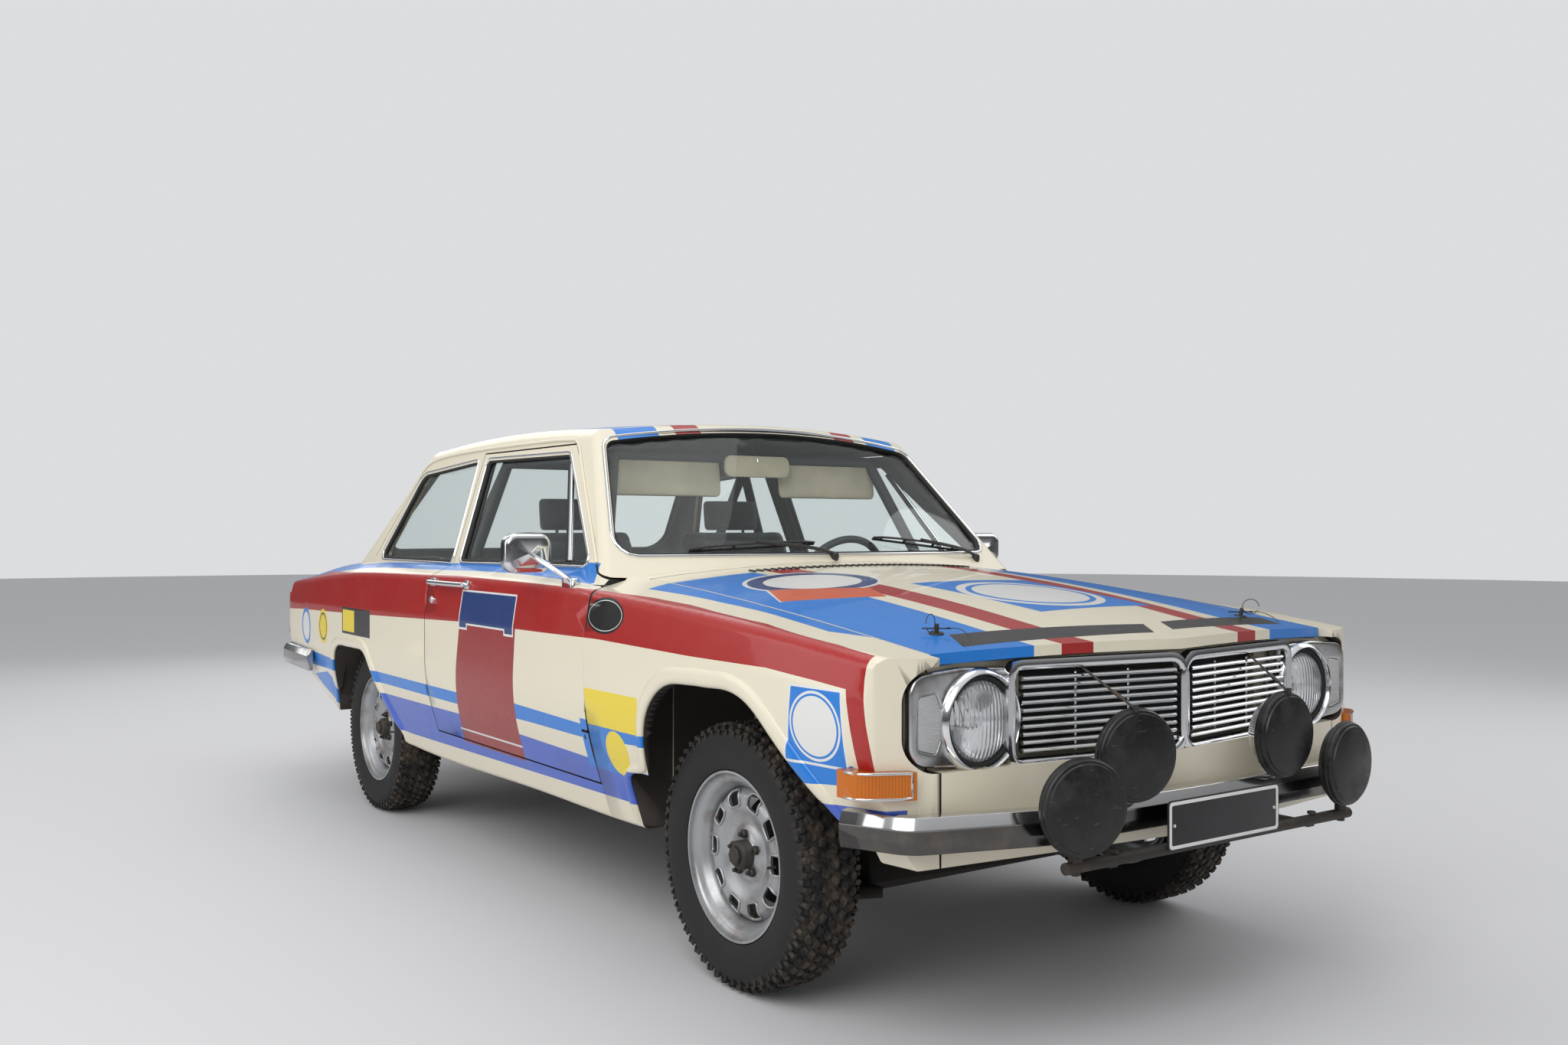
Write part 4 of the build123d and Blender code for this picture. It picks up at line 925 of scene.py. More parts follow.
def slot_rims(work, middle, side):
    """A raised rounded rim round each slot of a wheel."""
    for i in range(SLOT_COUNT):
        turn = math.tau * i / SLOT_COUNT
        loop = []
        for j in range(34):
            a = math.tau * j / 32
            c, s = math.cos(a), math.sin(a)
            out = SLOT_RING + math.copysign(abs(c) ** 0.5, c) * SLOT_HIGH
            along = math.copysign(abs(s) ** 0.5, s) * SLOT_WIDE
            radius = math.hypot(out, along)
            angle = turn + math.atan2(along, out)
            loop.append(Vector((radius * math.cos(angle), side * (face_height(radius) + 0.0006),
                                radius * math.sin(angle))) + middle)
        rod(work, loop, 0.0034, 8)


def grown(name, build, inputs, material):
    """A plain mesh piece from a geometry node tree with named inputs."""
    group = bpy.data.node_groups.new(name, "GeometryNodeTree")
    graph = Graph(group)
    for label, value in inputs.items():
        kind = "NodeSocketInt" if isinstance(value, int) else "NodeSocketFloat"
        group.interface.new_socket(name=label, in_out="INPUT", socket_type=kind)
    group.interface.new_socket(name="Geometry", in_out="OUTPUT", socket_type="NodeSocketGeometry")
    source = group.nodes.new("NodeGroupInput")
    sockets = {label: Wire(graph, source.outputs[label]) for label in inputs}
    shape = build(graph, sockets)
    shape = graph.add("GeometryNodeRealizeInstances", values=[shape])
    shape = graph.add("GeometryNodeSetMaterial", values={"Geometry": shape, "Material": material.material})
    end = group.nodes.new("NodeGroupOutput")
    group.links.new(shape.socket, end.inputs[0])
    holder = link(name + "_holder", bpy.data.meshes.new(name + "_holder"))
    modifier = holder.modifiers.new(name, "NODES")
    modifier.node_group = group
    for item in group.interface.items_tree:
        if item.in_out == "INPUT":
            modifier[item.identifier] = inputs[item.name]
    bpy.context.view_layer.update()
    seen = holder.evaluated_get(bpy.context.evaluated_depsgraph_get())
    mesh = bpy.data.meshes.new_from_object(seen)
    mesh.name = name
    bpy.data.objects.remove(holder)
    return mesh


def lug_rows(graph, sockets):
    """Every row of lugs of one tyre, round the Z axis."""
    count = sockets["Lugs"]
    step = math.tau / count
    rows = []
    for side in (-1, 1):
        for offset, radius, length, width, height, turn, shift in LUG_ROWS:
            if offset == 0 and side < 0:
                continue
            lug = graph.add("GeometryNodeMeshCone", values=LUG_SHAPE)
            lug = graph.moved(lug, Translation=(0, 0, -0.5))
            tall = sockets["Depth"] * (height / 0.009)
            size = graph.add("ShaderNodeCombineXYZ", values=[width, length, tall])
            lug = graph.moved(lug, Scale=size, Rotation=(0, 0, turn * side))
            lug = graph.moved(lug, Rotation=(0, math.pi / 2, 0))
            ring = graph.add("GeometryNodeMeshCircle", values={"Vertices": count, "Radius": radius})
            angle = graph.add("GeometryNodeInputIndex") * step
            turned_by = graph.add("ShaderNodeCombineXYZ", values=[0.0, 0.0, angle])
            row = graph.add("GeometryNodeInstanceOnPoints", values={"Points": ring, "Instance": lug,
                                                                     "Rotation": turned_by})
            placed = graph.add("ShaderNodeCombineXYZ", values=[0.0, 0.0, step * shift])
            rows.append(graph.moved(row, Translation=(0, 0, offset * side), Rotation=placed))
    join = graph.tree.nodes.new("GeometryNodeJoinGeometry")
    for row in rows:
        graph.tree.links.new(row.socket, join.inputs[0])
    return Wire(graph, join.outputs[0])


# A wheel nut and its stud, in radius and height above the seat, and the seat's height
NUT = [(0, 0), (0.0115, 0), (0.0115, 0.016), (0.008, 0.020), (0, 0.020)]
STUD = [(0, 0), (0.0055, 0), (0.0055, 0.027), (0.004, 0.029), (0, 0.029)]
NUT_SEAT = 0.023


def make_wheels(sizes):
    """The four tyres with their tread, and the four silver wheels with nuts and hub caps."""
    lugs = grown("tread", lug_rows, {"Lugs": sizes.lugs, "Depth": sizes.tread}, finish("tyre"))
    tyre_profile = CARCASS + [(r, -h) for r, h in reversed(CARCASS[:-1])]
    for corner, (x, side) in WHEELS.items():
        body = "wheel_" + corner + "_body"
        middle = (x, side * WHEEL_Y, WHEEL_Z)
        place = Matrix.Translation(middle) @ Matrix.Rotation(math.pi / 2, 4, "X")
        work = lathe(bmesh.new(), tyre_profile, 96)
        bmesh.ops.recalc_face_normals(work, faces=work.faces)
        work.from_mesh(lugs)
        bmesh.ops.transform(work, matrix=place, verts=work.verts)
        tyre = from_bmesh("tyre_with_tread_" + corner, work, finish("tyre"), smooth=30)
        stand_for(tyre, "tyre_" + corner)

        wheel = tidy_copy("wheel_" + corner, "slotted_wheel_" + corner, smooth=32)
        wheel.data.materials.append(finish("wheel").material)
        wheel.data.materials.append(finish("dark_iron").material)
        for face in wheel.data.polygons:
            away = face.center - Vector(middle)
            if math.hypot(away.x, away.z) < 0.0372 and away.y * side > 0.024:
                face.material_index = 1
        stand_for(wheel, "wheel_" + corner)

        work = bmesh.new()
        slot_rims(work, Vector(middle), side)
        fix(closed_piece("slot_rims_" + corner, work, finish("wheel"), smooth=60), body)

        work = bmesh.new()
        for i in range(sizes.wheel_nuts):
            angle = math.tau * (i + 0.3) / sizes.wheel_nuts
            spot = Vector((0.050 * math.cos(angle), 0, 0.050 * math.sin(angle))) + Vector(middle)
            axis = (0, side, 0)
            for profile, corners in ((NUT, 6), (STUD, 12)):
                lathe(work, [(r, NUT_SEAT + h) for r, h in profile], corners, spot, axis, close=False)
        lathe(work, [(0, 0.060), (0.024, 0.060), (0.024, 0.067), (0.020, 0.070), (0, 0.070)], 8, middle,
              (0, side, 0), close=False)
        fix(closed_piece("wheel_nuts_" + corner, work, finish("dark_iron"), smooth=30), body)
        valve = bmesh.new()
        foot = Vector(middle) + Vector((0.150, side * 0.046, 0))
        rod(valve, [foot, foot + Vector((-0.004, side * 0.022, 0))], 0.0035, 8)
        fix(from_bmesh("valve_" + corner, valve, finish("rubber")), body)


# Lamps and nose

def flat_shape(name, outlines, depth, bevel, place, material, resolution=3):
    """A flat piece with holes, from closed outlines of u, v points, rounded at its edges."""
    curve = bpy.data.curves.new(name, "CURVE")
    curve.dimensions = "2D"
    curve.fill_mode = "BOTH"
    curve.extrude = depth / 2 - bevel
    curve.bevel_depth = bevel
    curve.offset = -bevel
    curve.bevel_resolution = resolution
    for outline in outlines:
        spline = curve.splines.new("POLY")
        spline.points.add(len(outline) - 1)
        for point, (u, v) in zip(spline.points, outline):
            point.co = (u, v, 0, 1)
        spline.use_cyclic_u = True
    holder = link(name + "_holder", curve)
    bpy.context.view_layer.update()
    mesh = bpy.data.meshes.new_from_object(holder.evaluated_get(bpy.context.evaluated_depsgraph_get()))
    bpy.data.objects.remove(holder)
    work = bmesh.new()
    work.from_mesh(mesh)
    bmesh.ops.remove_doubles(work, verts=work.verts, dist=0.00005)
    bmesh.ops.transform(work, matrix=place, verts=work.verts)
    return closed_piece(name, work, material, smooth=35)


def round_outline(corners, radii, steps=8):
    """A closed outline with rounded corners."""
    points = []
    count = len(corners)
    radii = [radii] * count if isinstance(radii, (int, float)) else radii
    for i, radius in enumerate(radii):
        here = Vector(corners[i])
        back = (Vector(corners[i - 1]) - here).normalized()
        ahead = (Vector(corners[(i + 1) % count]) - here).normalized()
        half = back.angle(ahead) / 2
        reach = radius / math.tan(half)
        middle = here + (back + ahead).normalized() * (radius / math.sin(half))
        start, end = here + back * reach - middle, here + ahead * reach - middle
        sweep = math.pi - 2 * half
        turn = 1 if start.x * end.y - start.y * end.x > 0 else -1
        for j in range(steps + 1):
            angle = turn * sweep * j / steps
            c, s = math.cos(angle), math.sin(angle)
            points.append((middle.x + start.x * c - start.y * s, middle.y + start.x * s + start.y * c))
    return points


def round_box(u, v, half_wide, half_high, radius):
    """A rectangle's outline round its middle u, v, with rounded corners."""
    left, right, low, high = u - half_wide, u + half_wide, v - half_high, v + half_high
    return round_outline([(left, low), (right, low), (right, high), (left, high)], radius)


def circle(u, v, radius, steps=64):
    return [(u + radius * math.cos(math.tau * i / steps), v + radius * math.sin(math.tau * i / steps))
            for i in range(steps)]


def facing_front(x):
    """Places a shape drawn in y, z on a plane across the car, looking forward."""
    return Matrix(((0, 0, 1, x + AXLE), (1, 0, 0, 0), (0, 1, 0, 0), (0, 0, 0, 1)))


# The headlamps' middles, the plane of their glass, and the section of the raised rim
LAMP_Y, LAMP_Z, LAMP_FACE = 0.571, 0.720, 0.664
LAMP_LIP = [(0.0995, 0.640), (0.0990, 0.682), (0.1035, 0.687), (0.1090, 0.683), (0.1140, 0.668),
            (0.1150, 0.640)]


def make_headlamps():
    """The headlamps in their bright surrounds, with the clear side lamps outboard."""
    glasses, reflectors, rings = bmesh.new(), bmesh.new(), bmesh.new()
    plates, lenses = [], []
    for side, label in ((-1, "right"), (1, "left")):
        spot = at(0, side * LAMP_Y, LAMP_Z)
        x = LAMP_FACE
        dome = [(0.0885, x - 0.004), (0.086, x + 0.006), (0.076, x + 0.014), (0.055, x + 0.021),
                (0.028, x + 0.025), (0, x + 0.026), (0, x + 0.022), (0.055, x + 0.017), (0.082, x + 0.003)]
        lathe(glasses, dome, 64, spot, (1, 0, 0))
        bowl = [(0.088, x - 0.004), (0.080, x - 0.016), (0.058, x - 0.030), (0.024, x - 0.036),
                (0.020, x - 0.030), (0.017, x - 0.012), (0, x - 0.010)]
        lathe(reflectors, bowl, 48, spot, (1, 0, 0), close=False)
        seal = [(0.0875, x - 0.010), (0.0875, x + 0.007), (0.0915, x + 0.011), (0.0975, x + 0.009),
                (0.0985, x - 0.010)]
        lathe(rings, seal, 64, spot, (1, 0, 0))

        inner, outer, low, high = 0.468, 0.763, 0.626, 0.836
        corners = [(side * outer, low + 0.012), (side * 0.62, low), (side * inner, low + 0.006),
                   (side * inner, high - 0.006), (side * 0.62, high), (side * outer, high - 0.010)]
        edge = round_outline(corners, [0.045, 0.08, 0.02, 0.02, 0.08, 0.045])
        pocket = [(side * 0.742, 0.672), (side * 0.694, 0.660), (side * 0.676, 0.700), (side * 0.676, 0.745),
                  (side * 0.694, 0.786), (side * 0.742, 0.780)]
        window = round_outline(pocket, 0.012)
        plate = flat_shape("lamp_surround_" + label, [edge, circle(side * LAMP_Y, LAMP_Z, 0.0995), window],
                           0.030, 0.006, facing_front(0.654), finish("old_chrome"))
        plates.append(plate)
        lip = lathe(bmesh.new(), LAMP_LIP, 72, spot, (1, 0, 0))
        plates.append(closed_piece("lamp_rim_" + label, lip, finish("chrome"), smooth=50))
        lenses.append(flat_shape("side_lamp_" + label, [round_outline(pocket, 0.010)], 0.012, 0.003,
                                 facing_front(0.662), finish("clear_lens")))
        fix(lenses[-1], "chassis")
        backing = flat_shape("side_lamp_back_" + label, [round_outline(pocket, 0.010)], 0.004, 0.001,
                             facing_front(0.648), finish("silver_backing"))
        fix(backing, "chassis")
    for plate in plates:
        stand_for(plate, "headlamp_bezels")
    glass = closed_piece("headlamp_glasses", glasses, finish("lamp_glass"), smooth=60)
    stand_for(glass, "headlamps")
    silver = finish("silver_backing")
    fix(closed_piece("headlamp_reflectors", reflectors, silver, smooth=60), "chassis")
    fix(closed_piece("headlamp_seals", rings, finish("rubber"), smooth=50), "chassis")


# The grille stands further forward at its middle than at its ends, half a width away
GRILLE_MIDDLE, GRILLE_END, GRILLE_HALF = 0.755, 0.690, 0.466


def grille_face(y):
    """How far forward of the front axle the grille stands at y from the middle."""
    return GRILLE_MIDDLE - (GRILLE_MIDDLE - GRILLE_END) * abs(y) / GRILLE_HALF


def make_grille(sizes):
    """The two halves of the grille: bright bars with rounded ends in a rounded frame, over a black sheet of
    painted shade.
    """
    frames, bars = bmesh.new(), bmesh.new()
    low, high, outer, inner = 0.630, 0.823, 0.480, 0.008
    band = 0.023
    for side in (-1, 1):
        outline = round_outline([(outer, low), (inner, low), (inner, high), (outer, high)],
                                [0.012, 0.034, 0.034, 0.012])
        loop = even([Vector((u, v, 0)) for u, v in outline], 120)
        loop = [at(grille_face(p.x) - 0.004, side * p.x, p.y) for p in loop]
        rings = []
        out = Vector((1, 0, 0))
        inward = -side
        for i, point in enumerate(loop):
            ahead = (loop[(i + 1) % len(loop)] - loop[i - 1]).normalized()
            across = ahead.cross(out).normalized() * inward
            shape = ((0, -0.020), (0, 0.000), (0.003, 0.004), (band * 0.5, 0.006), (band, 0.002),
                     (band, -0.020))
            rings.append([frames.verts.new(point + across * u + out * v) for u, v in shape])
        skin(frames, rings, around=True)
        count = sizes.grille_bars
        pitch = (high - low - 1.6 * band) / (count - 1)
        for n in range(count):
            z = low + 0.8 * band + pitch * n
            ends = (inner + band - 0.004, outer - band + 0.004)
            steps = 6
            run = []
            for i in range(steps + 1):
                y = side * (ends[0] + (ends[1] - ends[0]) * i / steps)
                run.append(at(grille_face(y) - 0.010, y, z))
            slat(bars, run, pitch * 0.33, 0.010)
        for y in (0.155, 0.305):
            behind = grille_face(y) - 0.019
            rod(bars, [at(behind, side * y, low + 0.01), at(behind, side * y, high - 0.01)], 0.0028, 6)
    stand_for(closed_piece("grille_frames", frames, finish("chrome"), smooth=40), "grille")
    fix(closed_piece("grille_bars", bars, finish("chrome"), smooth=50), "chassis")
    # Painted shade: a black sheet behind the bars stands for the dark space behind the grille.
    dark = bmesh.new()
    solid_box(dark, at(0.604, -0.445, 0.642), at(0.612, 0.445, 0.815), 0.001)
    fix(from_bmesh("grille_screen", dark, finish("black")), "chassis")


def slat(work, points, half_high, half_deep):
    """A bar of flattened oval section along points."""
    sides, up = 10, Vector((0, 0, 1))
    rings = []
    for i, point in enumerate(points):
        ahead = (points[min(i + 1, len(points) - 1)] - points[max(i - 1, 0)]).normalized()
        deep = ahead.cross(up).normalized()
        rings.append([work.verts.new(point + deep * half_deep * math.cos(a) + up * half_high * math.sin(a))
                      for a in (math.tau * j / sides for j in range(sides))])
    capped(work, rings)


# Driving lamps: place of the cover's middle, and degrees that it looks outwards
DRIVING_LAMPS = [("low_right", (0.885, -0.469, 0.556), 14), ("low_left", (0.885, 0.469, 0.556), 5),
                 ("high_right", (0.850, -0.266, 0.640), 12), ("high_left", (0.850, 0.266, 0.640), 0)]
COVER_R = 0.104
# Blocks that carry the lamps: y, half width, x from and to, z from and to
LAMP_FEET = [(0.469, 0.014, 0.838, 0.854, 0.436, 0.462), (0.350, 0.013, 0.652, 0.846, 0.412, 0.4245),
             (0.266, 0.012, 0.788, 0.798, 0.5465, 0.612)]


def make_driving_lamps():
    """Four round lamps under dark covers: two low on the bar, two on the bumper with finned backs."""
    for label, middle, turn in DRIVING_LAMPS:
        spot = at(*middle)
        out = math.radians(math.copysign(turn, middle[1]))
        axis = (math.cos(out), math.sin(out), 0)
        cap = [(0, -0.0015), (0.818, -0.0015), (0.877, -0.0035), (0.895, -0.0075), (0.941, -0.0090),
               (0.964, -0.0120), (0.968, -0.0185), (0.993, -0.0205), (0.996, -0.0270), (0.986, -0.0300),
               (0.891, -0.0300), (0.891, -0.020), (0.0, -0.016)]
        work = lathe(bmesh.new(), [(COVER_R * r, d) for r, d in cap], 72, spot, axis, close=False)
        cover = closed_piece("lamp_cover_" + label, work, finish("cover"), smooth=28)
        stand_for(cover, "driving_lamps")
        work = bmesh.new()
        if "high" in label:
            bowl = [(0.950, -0.0285)]
            for i in range(8):
                d = -0.032 - 0.0056 * i
                r = 0.955 * math.sqrt(1 - (d / 0.092) ** 2)
                fin, root = r + 0.027, r - 0.036
                bowl += [(fin, d), (fin, d - 0.0020), (root, d - 0.0026), (root, d - 0.0050)]
            bowl += [(0.27, -0.0785), (0.0, -0.0795)]
        else:
            bowl = [(0.936, -0.0285), (0.927, -0.036), (0.855, -0.046), (0.709, -0.053), (0.455, -0.058),
                    (0.0, -0.0595)]
        lathe(work, [(COVER_R * r, d) for r, d in bowl], 64, spot, axis, close=False)
        key, slot = ("chrome", "chrome") if "high" in label else ("black", "dark_trim")
        fix(closed_piece("lamp_bowl_" + label, work, finish(key), smooth=30), "chassis")
    work = bmesh.new()
    rod(work, [at(0.846, y, 0.430) for y in (-0.50, -0.2, 0.2, 0.50)], 0.0128, 16)
    for side in (-1, 1):
        for y, half, back, front, foot, top in LAMP_FEET:
            y *= side
            solid_box(work, at(back, y - half, foot), at(front, y + half, top), 0.002)
        rod(work, [at(0.846, side * 0.469, 0.424), at(0.846, side * 0.469, 0.413)], 0.010, 6)
        rod(work, [at(0.846, side * 0.350, 0.4435), at(0.846, side * 0.350, 0.4500)], 0.010, 6)
    fix(from_bmesh("lamp_bar", work, finish("dark_iron"), smooth=30), "chassis")
    stays = bmesh.new()
    for side in (-1, 1):
        top, foot = at(0.686, side * 0.300, 0.834), at(0.838, side * 0.272, 0.741)
        rod(stays, [top, foot], 0.0028, 8)
        middle = top.lerp(foot, 0.62)
        rod(stays, [middle, top.lerp(foot, 0.78)], 0.0048, 6)
        rod(stays, [foot + Vector((0, 0, 0.010)), foot - Vector((0, 0, 0.006))], 0.006, 8)
    fix(from_bmesh("lamp_stays", stays, finish("dark_iron"), smooth=30), "chassis")


BORDER = 0.0075


def make_plates():
    """The two blank plates: black with a fine white border and two screws each."""
    for node, body, way in (("front_plate", "chassis", 1), ("rear_plate", "boot_body", -1)):
        spots = [v.co for v in NODES[node].data.vertices]
        wide = max(p.y for p in spots) - 0.001
        low, top = min(p.z for p in spots), max(p.z for p in spots)
        high, tall = (low + top) / 2, (top - low) / 2 - 0.0005
        face = max(p.x * way for p in spots) * way - AXLE
        back = flat_shape(node + "_blank", [round_box(0, high, wide, tall, 0.011)], 0.004, 0.0010,
                          facing_front(face - 0.0022 * way), finish("plate"))
        stand_for(back, node)
        wide, tall = wide - 0.0035, tall - 0.0035
        line = [round_box(0, high, wide, tall, 0.009),
                round_box(0, high, wide - BORDER, tall - BORDER, 0.005)]
        border = flat_shape(node + "_border", line, 0.0014, 0.0004, facing_front(face), finish("white"))
        fix(border, body)
        screws = bmesh.new()
        for y in (-wide + 0.016, wide - 0.016):
            lathe(screws, [(0, 0.0), (0.0045, 0.0), (0.004, 0.0018), (0, 0.0024)], 16,
                  at(face - 0.0003 * way, y, high), (way, 0, 0), close=False)
        fix(from_bmesh(node + "_screws", screws, finish("chrome")), body)


def make_bumpers():
    """The bumpers, bright along the top, with a painted dark reflection on the front one's face."""
    for node in ("front_bumper", "rear_bumper"):
        bumper = tidy_copy(node, "bright_" + node, smooth=32)
        finish("bumper" if node == "front_bumper" else "old_chrome").use(bumper)
        stand_for(bumper, node)


def make_signal_lamps():
    """Amber lamps round the front corners and red ones at the tail, each in a bright rim."""
    piece = tidy_copy("signal_lamps", "signal_lenses", smooth=40)
    piece.data.materials.append(finish("amber").material)
    piece.data.materials.append(finish("red_lens").material)
    for face in piece.data.polygons:
        face.material_index = 0 if face.center.x > 0 else 1
    stand_for(piece, "signal_lamps")
    rims = bmesh.new()
    for side, _ in SIDES:
        for middle_x, turn in ((0.45, 0), (-3.65, math.pi)):
            corner = [v.co for v in piece.data.vertices if v.co.y * side > 0 and (v.co.x > 0) == (turn == 0)]
            low, high = min(p.z for p in corner) + 0.003, max(p.z for p in corner) - 0.003
            path = []
            for i in range(61):
                a = turn + (-0.6 + 2.4 * i / 60) * (1 if turn == 0 else -1)
                way = Vector((math.cos(a), side * math.sin(a), 0))
                start = Vector((middle_x, side * 0.55, (low + high) / 2)) + way * 0.8
                spot, _ = surface("signal_lamps", *start, -way)
                if spot:
                    path.append(spot)
            if len(path) < 4:
                continue
            loop = [Vector((p.x, p.y, high)) for p in path]
            loop = even(loop + [Vector((p.x, p.y, low)) for p in reversed(path)], 160)
            rod(rims, loop + loop[:2], 0.0032, 8)
    fix(closed_piece("signal_rims", rims, finish("chrome"), smooth=60), "chassis")


# Fittings

# Search trees of CAD nodes, made when they are first asked for
SIGHT = {}


def surface(node, x, y, z, way):
    """Where a line from a point along a way first meets a CAD node, with the normal there."""
    if node not in SIGHT:
        mesh = NODES[node].data
        SIGHT[node] = BVHTree.FromPolygons([v.co.copy() for v in mesh.vertices],
                                           [list(p.vertices) for p in mesh.polygons])
    spot, normal, *_ = SIGHT[node].ray_cast(at(x, y, z), Vector(way))
    return spot, normal


def flank(nodes, x, z, side):
    """A point on the car's flank, on the first of the nodes that is there."""
    found = [spot for spot in (surface(node, x, side * 1.2, z, (0, -side, 0))[0] for node in nodes) if spot]
    return max(found, key=lambda spot: abs(spot.y)) if found else None


def make_mirrors():
    """Door mirrors: a bright housing on its stalk, with the glass set in the back."""
    for side, label in SIDES:
        shell = tidy_copy("mirror_" + label, "bright_mirror_" + label, smooth=40)
        finish("chrome").use(shell)
        stand_for(shell, "mirror_" + label)
        outline = round_box(side * 0.905, 1.057, 0.066, 0.050, 0.027)
        glass = flat_shape("mirror_glass_" + label, [outline], 0.003, 0.0008, facing_front(-0.9122),
                           finish("silver_backing"))
        fix(glass, "door_" + label + "_body")


def make_door_fittings():
    """The bright door handles with their locks, and the dividers of the quarter lights."""
    for side, label in SIDES:
        node, body = "door_" + label, "door_" + label + "_body"
        out = Vector((0, side, 0))
        work = bmesh.new()
        spots = [flank([node], x, 0.942, side) for x in (-1.785, -1.640, -1.480)]
        grip = [spots[i] + out * reach
                for i, reach in ((0, 0.003), (0, 0.019), (1, 0.023), (2, 0.018), (2, 0.002))]
        rod(work, arc(grip, 5), 0.0085, 10)
        for spot, wide in ((spots[0], 0.026), (spots[2], 0.018)):
            half = Vector((wide, 0.005, 0.014))
            solid_box(work, spot - half, spot + half, 0.004)
        lock = flank([node], -1.775, 0.880, side)
        lathe(work, [(0, 0.006), (0.008, 0.006), (0.0125, 0.002), (0.013, -0.001)], 20, lock, (0, side, 0),
              close=False)
        fix(closed_piece("door_handle_" + label, work, finish("chrome"), smooth=40), body)
        glass = "door_glass_" + label
        low, high = flank([glass], -0.905, 1.030, side), flank([glass], -1.110, 1.330, side)
        if low and high:
            lift = Vector((0, side * 0.003, 0))
            divider = rod(bmesh.new(), [low + lift, low.lerp(high, 0.5) + lift, high + lift], 0.008, 10)
            fix(from_bmesh("window_divider_" + label, divider, finish("chrome"), smooth=50), body)
            back = Vector((-0.017, side * 0.001, 0))
            channel = rod(bmesh.new(), [low + back, low.lerp(high, 0.5) + back, high + back], 0.008, 8)
            channel = from_bmesh("divider_channel_" + label, channel, finish("rubber"), smooth=50)
            fix(channel, body)


# Each wiper: its pivot, and the y, z of its blade's ends
WIPERS = {"right": ((-0.584, -0.009, 1.040), (-0.500, 1.058), (-0.060, 1.078)),
          "left": ((-0.632, 0.632, 1.027), (0.190, 1.092), (0.570, 1.052))}


def make_wipers():
    """Two wipers lying low on the windscreen, with their arms, blades and pivots."""
    for label, (pivot, start, end) in WIPERS.items():
        pivot = at(*pivot)
        line, holder = [], []
        for i in range(13):
            share = i / 12
            y, z = (a + (b - a) * share for a, b in zip(start, end))
            spot, normal = surface("windscreen", 0, y, z, (-1, 0, 0))
            if not spot:
                continue
            line.append(spot + normal * 0.006)
            holder.append(spot + normal * (0.013 + 0.012 * math.sin(math.pi * share) ** 0.5))
        work = bmesh.new()
        rod(work, line, 0.0045, 6)
        rod(work, holder, 0.004, 6)
        for i in (1, 4, 8, 11):
            rod(work, [line[i], holder[i]], 0.0045, 6)
        knee = pivot.lerp(holder[6], 0.35) + Vector((0.012, 0, 0.016))
        arm = [pivot + Vector((0, 0, 0.012)), knee, holder[6] + Vector((0.004, 0, 0.004))]
        rod(work, arc(arm, 5), 0.0055, 8)
        lathe(work, [(0.014, -0.030), (0.014, 0.006), (0.010, 0.016), (0, 0.018)], 16, pivot, (0.4, 0, 0.92),
              close=False)
        fix(closed_piece("wiper_" + label, work, finish("black"), smooth=40), "chassis")


COWL_MIDDLE = -0.415


def slot_row(graph, sockets):
    """Short rounded bars side by side across the car, bowed forward in the middle."""
    count, pitch = sockets["Slots"], sockets["Pitch"]
    bar = graph.add("GeometryNodeMeshCube", values={"Size": (0.030, 0.0070, 0.004)})
    line = graph.add("GeometryNodeMeshLine", values={"Count": count, "Offset": (0, 0.01, 0)})
    number = graph.add("GeometryNodeInputIndex") - (count - 1) * 0.5
    across = number * pitch
    bow = across * across * -0.16
    spot = graph.add("ShaderNodeCombineXYZ", values=[bow, across, 0.0])
    line = graph.add("GeometryNodeSetPosition", values={"Geometry": line, "Position": spot})
    return graph.add("GeometryNodeInstanceOnPoints", values={"Points": line, "Instance": bar})


def on_top(x, y):
    """The highest point of the bonnet or the shell behind it, at x, y from the front axle."""
    spots = [surface(node, x, y, 1.4, (0, 0, -1))[0] for node in ("bonnet", "body_shell")]
    return max((spot for spot in spots if spot), key=lambda spot: spot.z)


def make_cowl(sizes):
    """The row of air slots ahead of the windscreen, as black bars of painted shade, and the washer jets."""
    # Painted shade: black bars laid on the cowl stand for the dark openings of the slots.
    mesh = grown("cowl_slots", slot_row, {"Slots": sizes.cowl_slots, "Pitch": 0.0235}, finish("black"))
    work = bmesh.new()
    work.from_mesh(mesh)
    for v in work.verts:
        v.co = on_top(v.co.x + COWL_MIDDLE, v.co.y) + Vector((0, 0, 0.0045 if v.co.z > 0 else -0.002))
    fix(from_bmesh("cowl_slots", work, finish("black")), "bonnet_body")
    jets = bmesh.new()
    for side, _ in SIDES:
        foot = surface("body_shell", -0.600, side * 0.30, 1.4, (0, 0, -1))[0]
        if foot:
            lathe(jets, [(0.007, -0.002), (0.007, 0.006), (0.004, 0.009), (0, 0.010)], 12, foot, close=False)
    if jets.verts:
        fix(closed_piece("washer_jets", jets, finish("black")), "chassis")
    else:
        jets.free()


PIN_PLATE = [(0, 0.003), (0.016, 0.003), (0.018, 0.0), (0.018, -0.001)]
PIN = [(0, 0.024), (0.004, 0.023), (0.005, 0.020), (0.005, 0.0)]


